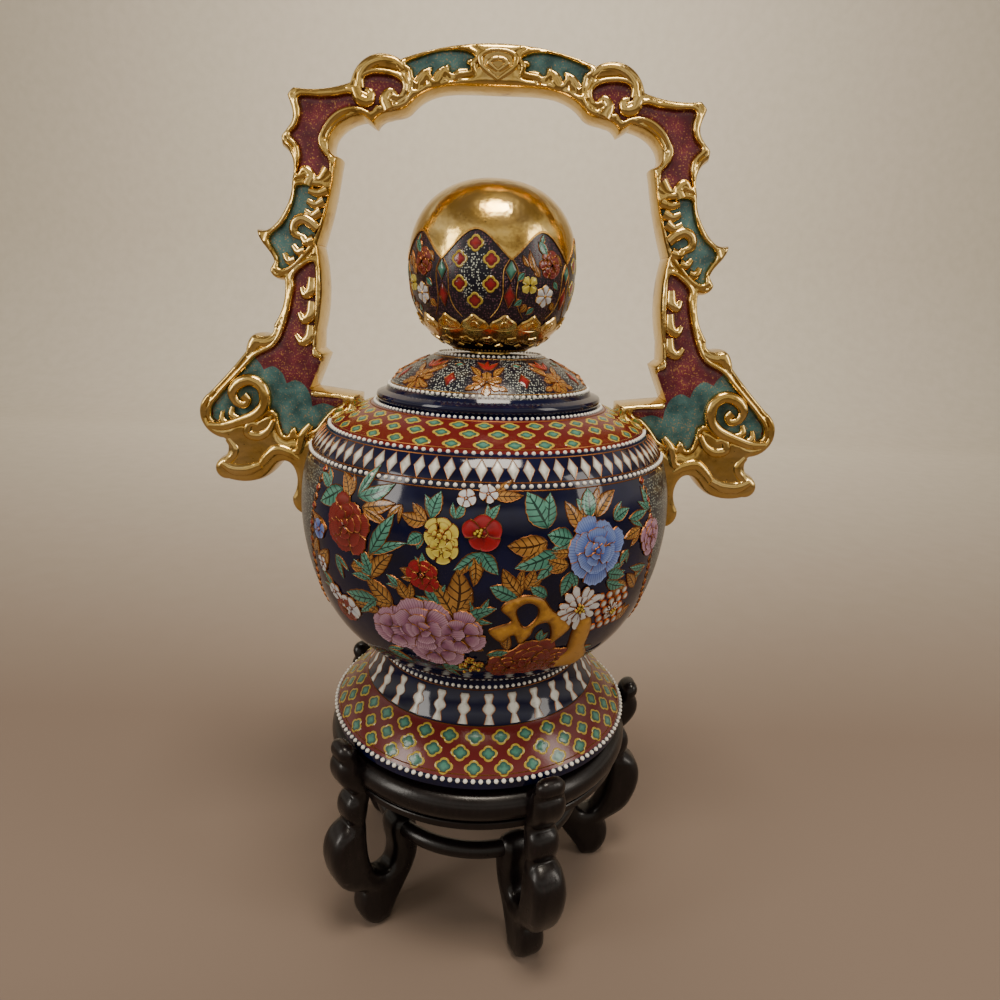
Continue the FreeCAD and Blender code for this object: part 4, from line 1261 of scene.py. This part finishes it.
ARM_PANEL = [(125, 512), (132, 508.8), (138.6, 501.8), (138.6, 495.1), (140.4, 487.3), (142.8, 478.3),
             (146, 469.2), (150, 460), (156, 452.6), (164, 448.4), (168.4, 446), (176.1, 438),
             (185.9, 428), (196.6, 416.8), (203.6, 407.8), (203.8, 400), (198.3, 397), (188, 401.6),
             (177.4, 401.6), (166.8, 407), (160, 408.6), (155.2, 405.4), (154.6, 399.8), (152.1, 390.5),
             (149, 389), (146.1, 394.4), (143, 395.4), (140.4, 389.4), (137.4, 388.6), (134.5, 392.5),
             (128.7, 394.8), (121, 404), (114, 411), (107, 414.6), (107, 417), (118, 418.4), (130, 419.6),
             (128.3, 428.7), (124.8, 436.6), (122.4, 444.9), (128, 447.9), (128, 453), (126, 471),
             (124.6, 493.5)]
LEAF_SCALLOPS = [[(112.5, 411.5), (121, 414), (129.5, 411.6)],
                 [(129.5, 411.6), (130.4, 418.5), (134, 426.2), (140.8, 430.2), (147.6, 427.6)],
                 [(147.6, 427.6), (150.6, 435), (156.8, 439.6), (164, 437)],
                 [(164, 437), (166, 441), (170, 445)]]


def mirrored(points):
    """The same outline on the other side, with its direction kept."""
    return [(-x, z) for x, z in reversed(points)]


LEAF_PANEL = [q for scallop in LEAF_SCALLOPS for q in curve_line(scallop, 5)[:-1]] + [(170, 445)]
arm_low = ARM_PANEL[ARM_PANEL.index((176.1, 438)):ARM_PANEL.index((114, 411)) + 1]
right_panels = {"bridge_teal": BRIDGE_PANEL, "corner_maroon": CORNER_PANEL, "side_teal": SIDE_PANEL,
                "arm_maroon": ARM_PANEL}
panel_loops, panel_tint = [], []
for name, points in right_panels.items():
    for line in (points, mirrored(points)):
        panel_loops.append(evened(curve_line(line, 4, closed=True), 1.3, 50))
        panel_tint.append(1 if name.endswith("teal") else 2)
leaf_area = [np.array(p) for p in (LEAF_PANEL + arm_low, mirrored(LEAF_PANEL + arm_low))]
print("panels:", len(panel_loops))

# %% The relief: half thickness from height, less a quarter round at every outline
def half_thickness(points):
    """The handle thickens smoothly from its crown down to the shoulders."""
    return np.interp(points[:, 1], [345, 385, 420, 455, 490, 540, 600, 625, 650],
                     [16.5, 17, 18.6, 17.6, 16.6, 15.4, 14.2, 13.2, 12.8])


def quarter_round(gap, radius):
    return np.sqrt(1 - (1 - np.clip(gap / radius, 0, 1)) ** 2)


outline_edges = [edges_of(o) for o in outlines]
free = []
for i, edges in enumerate(outline_edges):
    middles = edges.mean(1)
    others = np.concatenate([e for j, e in enumerate(outline_edges) if j != i])
    depth = half_thickness(middles)
    wall_radius = belly_wall.radius(np.clip(middles[:, 1], 226, 420))
    on_belly = (np.hypot(middles[:, 0], depth) < wall_radius + 2.0) & (middles[:, 1] < 421)
    free.append(edges[(distance(middles, others) > 0.2) & ~on_belly])
free = np.concatenate(free)
panel_edges = np.concatenate([edges_of(p) for p in panel_loops])
RIM_ROUND, PANEL_ROUND, PANEL_DEPTH = 4.0, 2.2, 3.8
FLUTE_DEPTH, FLUTE_PLACE = 1.9, 4.4      # a groove that runs round each panel, so far outside its edge


def relief(points):
    """Half thickness at each place on the gilt rims."""
    to_edge, to_panel = distance(points, free), distance(points, panel_edges)
    high = quarter_round(to_edge, RIM_ROUND) * quarter_round(to_panel, PANEL_ROUND)
    flute = np.exp(-(((to_panel - FLUTE_PLACE) / 1.2) ** 2)) * np.clip((to_edge - 1.5) / 2.0, 0, 1)
    return half_thickness(points) - PANEL_DEPTH * (1 - high) - FLUTE_DEPTH * flute


points, faces = filled(outlines + panel_loops, 2.6, (0.35, 1.0, 2.0, 3.2, 4.4), outlines,
                       (LEAF_PANEL[1:-1], mirrored(LEAF_PANEL[1:-1])))
height = relief(points)
middles = points[faces].mean(1)
tint = np.zeros(len(faces), int)
for loop, code in zip(panel_loops, panel_tint):
    tint[inside(middles, loop)] = code
tint[(tint == 2) & np.any([inside(middles, area) for area in leaf_area], axis=0)] = 1
in_panel = np.zeros(len(points), bool)
in_panel[np.unique(faces[tint > 0])] = True
swell = 0.8 * quarter_round(distance(points, panel_edges), 5.0)      # the enamel pools in the middle
height = np.where(in_panel, half_thickness(points) - PANEL_DEPTH + swell, height)
print("handle points:", len(points), "triangles:", len(faces))

# %% Gilt rims front and back with a rounded wall between, then the enamel floors of the panels
def both_faces(points, height):
    front = np.stack([points[:, 0], -height, points[:, 1]], -1)
    return np.concatenate([front, front * [1, -1, 1]]) * MM


def open_edges(faces):
    """The directed edges that only one triangle has."""
    edges = {(a, b) for f in faces for a, b in zip(f, f[1:] + f[:1])}
    return [e for e in edges if (e[1], e[0]) not in edges]


faces = facing_front(faces, points)
everywhere = both_faces(points, height)
count = len(points)
gilt = [f for f, t in zip(faces, tint) if t == 0]
gilt_pile = Pile()
wall_faces, wall_points = [], []
steps = (0.62, 0.2, -0.2, -0.62)      # the wall's rows, as shares of the half thickness
WALL_BULGE = 1.1
outward = {}
for a, b in open_edges(faces):
    run = points[b] - points[a]
    square = np.array([run[1], -run[0]]) / max(np.linalg.norm(run), 1e-9)
    for c in (a, b):
        outward[c] = outward.get(c, 0) + square
index = {}
for c, way in outward.items():
    way = way / max(np.linalg.norm(way), 1e-9)
    index[c] = [c] + [2 * count + len(wall_points) + i for i in range(len(steps))] + [c + count]
    for share in steps:
        x, z = points[c] + way * WALL_BULGE * math.sqrt(1 - share**2)
        wall_points.append([x, -height[c] * share, z])
for a, b in open_edges(faces):
    for i in range(len(steps) + 1):
        wall_faces.append((index[a][i], index[a][i + 1], index[b][i + 1], index[b][i]))
gilt_pile.add(np.concatenate([everywhere, np.array(wall_points) * MM]),
              gilt + [tuple(c + count for c in f[::-1]) for f in gilt] + wall_faces)
gilt_pile.make("handle_gilding", [lustre], "vase", "gilt_ceramic", ["handle_" + s for s in SECTIONS], 65)
for code, wash, name in ((1, teal_wash, "handle_teal_panels"), (2, maroon_wash, "handle_maroon_panels")):
    some = [f for f, t in zip(faces, tint) if t == code]
    wash_pile = Pile()
    wash_pile.add(everywhere, some + [tuple(c + count for c in f[::-1]) for f in some])
    wash_pile.make(name, [wash], "vase", "gilt_ceramic", (), 60)
for piece in [o for o in bpy.data.objects if o.name.startswith("handle_") and "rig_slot" in o]:
    made = bmesh.new()
    made.from_mesh(piece.data)
    bmesh.ops.delete(made, geom=[v for v in made.verts if not v.link_faces], context="VERTS")
    made.to_mesh(piece.data)
    made.free()

# %% Commas and curls: tapered rolls of slip, half sunk in the panels
ROLL_SIDES = 10


def roll(pile, path, widths, raise_by):
    """A tapered roll along a smooth path in the handle's plane, on both of its faces."""
    line = np.array(curve_line(path, 6))
    width = np.interp(np.linspace(0, 1, len(line)), np.linspace(0, 1, len(widths)), widths)
    run = np.gradient(line, axis=0)
    run /= np.maximum(np.linalg.norm(run, axis=1), 1e-9)[:, None]
    square = np.stack([run[:, 1], -run[:, 0]], -1)
    level = half_thickness(line) - PANEL_DEPTH + 0.4 + raise_by
    for face in (-1, 1):
        rings = []
        for i in [0] + list(range(len(line))) + [len(line) - 1]:
            w = width[i] if 0 < len(rings) < len(line) + 1 else 0.05
            t = np.arange(ROLL_SIDES) * 2 * math.pi / ROLL_SIDES
            flat = line[i] + square[i] * (w * np.cos(t))[:, None]
            rings.append(np.stack([flat[:, 0], face * (level[i] + w * 0.9 * np.sin(t)), flat[:, 1]], -1))
        faces = grid_faces(len(rings), ROLL_SIDES, True)
        pile.add(np.concatenate(rings) * MM, [f[::-1] if face < 0 else f for f in faces])


def roll_pairs(name, groups, stands_for=()):
    """Rolls on the right and their mirror images, from groups of (paths, how much thicker, raise)."""
    pile = Pile()
    for paths, thicker, raise_by in groups:
        for path, widths in paths:
            for way in (1, -1):
                roll(pile, [(way * x, z) for x, z in path][::way], [thicker * w for w in widths][::way],
                     raise_by)
    pile.make(name, [lustre], "vase", "gilt_ceramic", stands_for)


COMMAS = [
    # three bars and a curl down the side panel, from its inner rim
    ([(113.6, 559), (120, 557), (126.4, 558.6)], (2.8, 2.2, 1.6)),
    ([(116, 552), (122, 549.6), (127.6, 552)], (2.8, 2.2, 1.6)),
    ([(118.6, 545.6), (124, 542.6), (129.4, 545.6)], (2.8, 2.2, 1.4)),
    ([(121, 534), (126, 538), (131.4, 540.4), (137, 537), (137.4, 531), (132, 528.4)],
     (2.6, 2.8, 2.6, 2.2, 1.6)),
    ([(124, 526.5), (129, 525.5), (132, 529)], (3.2, 2.6, 1.8)),
    ([(130.5, 519.5), (135, 519), (138.6, 523)], (2.8, 2.2, 1.4)),
    ([(137.5, 513.4), (142, 512.6), (145, 517.6)], (2.6, 2.0, 1.3)),
    # commas down the arm
    ([(126.4, 502), (127.8, 492.5), (131.4, 490.6), (133.8, 495.4)], (2.1, 2.8, 2.5, 1.3)),
    ([(127, 486), (128.8, 475.6), (133, 473.2), (136.2, 478)], (2.1, 2.8, 2.5, 1.3)),
    ([(128.4, 469.5), (130.2, 460), (134.8, 457.8), (139, 462.6)], (2.1, 2.8, 2.5, 1.3)),
    # small curls where the corner meets the bridge and the side
    ([(93.4, 622), (90.4, 615.4), (84.6, 614.6), (83.4, 619.4), (87, 620.6)], (3.0, 2.8, 2.2, 1.5)),
    ([(71.6, 609.6), (74, 616), (70.4, 620.6), (66.8, 617.4)], (3.2, 2.8, 2.0, 1.4)),
    ([(127, 562), (124.6, 567.4), (128.6, 571.4), (132.4, 567.4)], (3.0, 2.6, 2.2, 1.4)),
    ([(113, 572), (118, 566), (123, 566.4)], (3.0, 2.4, 1.6)),
    # flames on the bridge
    ([(29, 629.6), (25.4, 633), (20, 634.6)], (1.9, 1.8, 0.8)),
    ([(41, 627.6), (38, 632.6), (33, 636.6)], (2.0, 2.0, 0.9)),
    ([(53, 626.4), (48.6, 631.6), (43.6, 634.8)], (2.0, 2.0, 0.9)),
    # the curl on top of the corner, and the beak at the shoulder
    ([(61.5, 634), (68, 638), (78, 638.4), (86, 634.4), (90.4, 628), (90, 622)], (1.8, 2.4, 2.5, 2.3, 1.8)),
    ([(152, 460.4), (160, 456.4), (167.4, 455.4), (170.8, 449.6)], (1.7, 2.3, 2.2, 1.3)),
]
# the shield over the middle of the bridge and its two leaves stand on the gilt, not in a panel
SHIELD = [
    ([(0.2, 646.4), (6, 645.6), (11.6, 642.4), (10.4, 637), (5.6, 633), (0.2, 629.4)],
     (1.2, 1.6, 2.0, 1.9, 1.8, 1.4)),
    ([(0.2, 641.4), (4, 640.6), (6, 638.6), (3.4, 636.4), (0.2, 634.4)], (1.6, 1.8, 2.0, 1.8, 1.4)),
    ([(13.6, 641), (16.4, 637.4), (14.6, 632.6)], (1.6, 2.0, 1.0)),
]
roll_pairs("handle_commas", [(COMMAS, 1.5, 0.5), (SHIELD, 1.0, 3.0)])

# %% The volutes: a spiral on each face of both shoulders, with two small curls, and the bracket's lobes
VOLUTE = ([(206.5, 395), (196, 395), (183, 399), (170, 405), (163.4, 413.7), (165, 424.4), (172.4, 429.4),
           (182, 426.4), (186.8, 419.5), (184.2, 413), (178.6, 411.4), (176.2, 415), (178.6, 418)],
          (3.0, 3.8, 4.4, 4.8, 4.8, 4.6, 4.0, 3.2, 2.8, 3.8))
LOBES = [
    ([(182, 399), (189, 403), (188, 409.4)], (3.0, 2.6, 1.4)),
    ([(192, 395.5), (196.4, 399), (196, 405.4)], (3.0, 2.4, 1.3)),
    ([(131, 398), (137, 390), (141, 378), (148, 376)], (2.0, 3.4, 3.2, 2.0)),
    ([(141, 371), (148.4, 376.4), (157, 378.4), (163.8, 373.4), (170, 366)], (2.4, 3.6, 4.0, 3.6, 3.0)),
    ([(158, 400), (163, 392), (170, 388), (178, 390), (176, 397), (170, 396)], (2.4, 3.2, 3.6, 3.2, 2.2)),
    ([(170, 366), (180, 362), (191, 362), (199, 366)], (3.4, 4.4, 4.4, 3.0)),
    ([(193.4, 385), (188.6, 377), (192.4, 370), (198.6, 364)], (2.4, 3.2, 3.2, 2.2)),
]
roll_pairs("handle_volute_scrolls", [([VOLUTE], 1.0, 2.2), (LOBES, 1.2, 1.4)], ["handle_volutes"])
# %% [markdown]
# ## The carved stand
#
# Each leg is sawn from a plank and then carved nearly round: a crest over the ring, a knob, a collar,
# a hanging knee and an inner strap that curls up to the stretcher. The saw's outline is read from the
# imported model, and the carving rounds 7.5 mm in from every edge, so narrow parts come out nearly as
# round as a branch and broad ones stay flat in the middle.

# %% Five legs from one outline
LEG_COUNT, FIRST_LEG = 5, 24.0
LEG_ROUND, FLAT_SHARE = 7.5, 0.3      # the edge's round in mm, and how much of the width stays flat


def leg_width(height):
    """Half the leg's width: narrow at the two collars, broad at the knee."""
    return np.interp(height, [0, 12, 30, 52, 84, 100, 106, 111, 118, 128, 133, 138, 150, 164, 178],
                     [12.5, 12, 11, 12.5, 13.8, 13.0, 11.0, 12.2, 12.6, 12.0, 10.6, 12.2, 12.8, 12, 11])


def to_leg_plane(azimuth):
    """Turns a leg at an azimuth back on to +X."""
    return Matrix.Rotation(math.radians(90 - azimuth), 4, "Z")


leg_line = evened(front_outline("stand_leg_1", to_leg_plane(FIRST_LEG)), 2.0)
points, faces = filled([leg_line], 4.0, (0.3, 1.1, 2.4, 4.4, 6.8), [leg_line])
faces = facing_front(faces, points)
gap = distance(points, edges_of(leg_line))
half = leg_width(points[:, 1]) * (FLAT_SHARE + (1 - FLAT_SHARE) * quarter_round(gap, LEG_ROUND))
groove = 0.8 * np.exp(-((gap - 4.4) / 0.9) ** 2) * (points[:, 1] < 60)      # cut along the knee's edge
leg_places = both_faces(points, half - groove)
count = len(points)
leg_faces = faces + [tuple(c + count for c in f[::-1]) for f in faces]
leg_faces += [(a, a + count, b + count, b) for a, b in open_edges(faces)]
for i in range(LEG_COUNT):
    turn = np.array(to_leg_plane(FIRST_LEG + i * 360 / LEG_COUNT).to_3x3())
    leg = Pile()
    leg.add(leg_places @ turn, leg_faces)
    leg.make("carved_leg_%d" % (i + 1), [wood], "stand", "carved_wood", ["stand_leg_%d" % (i + 1)], 75)

# %% The ring and the stretcher, in five turned pieces each, tenoned into the legs
RAIL_STEPS = 30


def turned_length(section, first, last):
    """A closed section carried round from one azimuth to another, its ends closed."""
    turns = np.radians(np.linspace(first, last, RAIL_STEPS))
    section = np.array(section)
    rows = [np.stack([section[:, 0] * math.sin(t), -section[:, 0] * math.cos(t), section[:, 1]], -1)
            for t in turns]
    count = len(section)
    ends = [tuple(range(count))[::-1], tuple(range((RAIL_STEPS - 1) * count, RAIL_STEPS * count))]
    return np.concatenate(rows) * MM, [f[::-1] for f in grid_faces(RAIL_STEPS, count, True) + ends]


def round_section(r, z, radius, first=0.0, last=2 * math.pi, count=28):
    """Points on a circle round (r, z), from one angle up to another in radians."""
    return [(r + radius * math.cos(t), z + radius * math.sin(t)) for t in np.linspace(first, last, count)]


ring_section = ([(92, 137.5), (92, 153), (100, 153), (100, 161.4), (100.6, 162), (109.4, 162), (110, 161.4),
                 (110, 160)] + round_section(112, 148.5, 11.5, 1.6, -1.5, 22)
                + [(113, 137), (118.4, 137), (119, 136.4), (119, 132.1), (118.4, 131.5), (108, 131.5),
                   (108, 137)])
stretcher_section = round_section(84, 82, 6.5, count=29)[:-1]
TENON = 3.2      # degrees that a rail's end runs on past the face of the leg's middle
for i in range(LEG_COUNT):
    first, last = FIRST_LEG + i * 72 + TENON, FIRST_LEG + (i + 1) * 72 - TENON
    for kind, section in (("rail", ring_section), ("stretcher", stretcher_section)):
        rail = Pile()
        rail.add(*turned_length(section, first, last))
        rail.make("carved_%s_%d" % (kind, i + 1), [wood], "stand", "carved_wood",
                  ["stand_%s_%d" % (kind, i + 1)], 40)
for node in ("stand_board", "stand_rail_dowels", "stand_stretcher_dowels"):
    print(node, "has", len(frame["nodes"][node].material_slots), "material slots")
    for slot in frame["nodes"][node].material_slots:
        slot.material = wood

# %% [markdown]
# ## Floor, light and camera
#
# A pale floor that sweeps up behind stands in for a studio table. Gold shows only what it mirrors, so
# the light is a few soft panels, and the surround has light and dark bands. An even white sky would make
# the gold look like yellow paint.

# %% The floor and its sweep
def studio_floor(half_width=5.0, back=2.2, rise=3.2, bend=0.8):
    """A strip that is flat under the object and curves up behind it."""
    side = [(-4.0, 0.0), (back, 0.0)]
    side += [(back + bend * math.sin(t), bend * (1 - math.cos(t)))
             for t in np.linspace(0.1, math.pi / 2, 14)]
    side.append((back + bend, rise))
    verts = [(x, y, z) for y, z in side for x in (-half_width, half_width)]
    faces = [(2 * i, 2 * i + 1, 2 * i + 3, 2 * i + 2) for i in range(len(side) - 1)]
    mesh = bpy.data.meshes.new("studio_sweep")
    mesh.from_pydata(verts, [], faces)
    mesh.shade_smooth()
    return mesh


paper, tree, place = begin("matt_paper_sweep")
fibre = add(tree, "TexNoise", {"Vector": place, "Scale": per_metre(40)})
shade = add(tree, "ValToRGB", {"Fac": fibre}, [(0.3, "#D8D0C1"), (0.7, "#DED6C8")])
far = add(tree, "SeparateXYZ", {"Vector": place}).outputs["Y"]
near = add(tree, "MapRange", {"Value": far, "From Min": 0.2, "From Max": 2.0})
tone = add(tree, "Mix", {0: near, 6: "#7C6C60", 7: shade}, data_type="RGBA").outputs[2]
surface(paper, {"Base Color": tone, "Roughness": 0.85})
floor = bpy.data.objects.new("studio_floor", studio_floor())
floor.data.materials.append(paper)
bpy.context.scene.collection.objects.link(floor)
floor.location.z = cad_low.z - 0.0002
floor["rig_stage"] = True
print("floor top at z =", round(floor.location.z / MM, 2), "mm")

# %% Soft light panels, and a dim warm surround for the gold to mirror
def light_panel(name, place, aim, size, power, tint):
    lamp = bpy.data.lights.new(name, "AREA")
    lamp.shape, lamp.size, lamp.size_y = "RECTANGLE", size[0], size[1]
    lamp.energy, lamp.color = power, colour(tint)[:3]
    panel = bpy.data.objects.new(name, lamp)
    bpy.context.scene.collection.objects.link(panel)
    panel.location = place
    panel.rotation_mode = "QUATERNION"
    panel.rotation_quaternion = (Vector(aim) - Vector(place)).to_track_quat("-Z", "Y")


light_panel("ceiling_panel", (0.1, -0.5, 2.0), (0, 0, 0.35), (0.7, 0.5), 26, "#FFF3E0")
light_panel("left_panel", (-1.5, -1.0, 1.0), (0, 0, 0.35), (0.5, 1.0), 12, "#FFF8EE")
light_panel("right_panel", (1.5, -0.7, 1.1), (0, 0, 0.35), (0.5, 1.0), 9, "#FFF6EA")
light_panel("sweep_panel", (0.0, 0.9, 2.4), (0, 3.0, 0.9), (1.6, 0.6), 45, "#FFF6E8")
world = bpy.data.worlds.new("dim_warm_room")
world.use_nodes = True
bpy.context.scene.world = world
tree = world.node_tree
tree.nodes.clear()
direction = add(tree, "TexCoord").outputs["Generated"]
split = add(tree, "SeparateXYZ", {"Vector": direction})
height = add(tree, "MapRange", {"Value": split.outputs["Z"], "From Min": -1.0})
sky = add(tree, "ValToRGB", {"Fac": height},
          [(0.3, "#54422F"), (0.47, "#8A7A66"), (0.54, "#DCD0BC"), (0.6, "#E8E0D2"), (0.66, "#7E6E5A"),
           (0.75, "#F0E9DC"), (0.88, "#7A6A58")])
add(tree, "OutputWorld", {"Surface": add(tree, "Background", {"Color": sky, "Strength": 1.0})})

# %% [markdown]
# ## The camera
#
# The view is close and a little above the belly, so the lens is wide and looks down a little. The
# camera stands half a metre from the vase's axis.

# %% Camera
CAMERA_PLACE, LOOK_DOWN, CAMERA_ROLL = (0.0115, -0.510, 0.487), 16.03, 2.1      # metres and degrees
lens = bpy.data.cameras.new("wide_lens")
lens.lens, lens.sensor_width = 24.2, 36.0
lens.clip_start = 0.05
camera = bpy.data.objects.new("camera", lens)
bpy.context.scene.collection.objects.link(camera)
bpy.context.scene.camera = camera
camera.matrix_world = (Matrix.Translation(CAMERA_PLACE)
                       @ Matrix.Rotation(math.radians(90 - LOOK_DOWN), 4, "X")
                       @ Matrix.Rotation(math.radians(CAMERA_ROLL), 4, "Z"))
print("lens", lens.lens, "mm")

# %% [markdown]
# ## Checking the size
# The looks are meant to keep the object's size, so its box is printed before they are added and again here.
# The looks must not change the object's size, so the boxes before and after go into one small file.

# %% Boxes, and the end
low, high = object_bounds()
print("visual box in mm:", [round(v / MM, 1) for v in high - low])
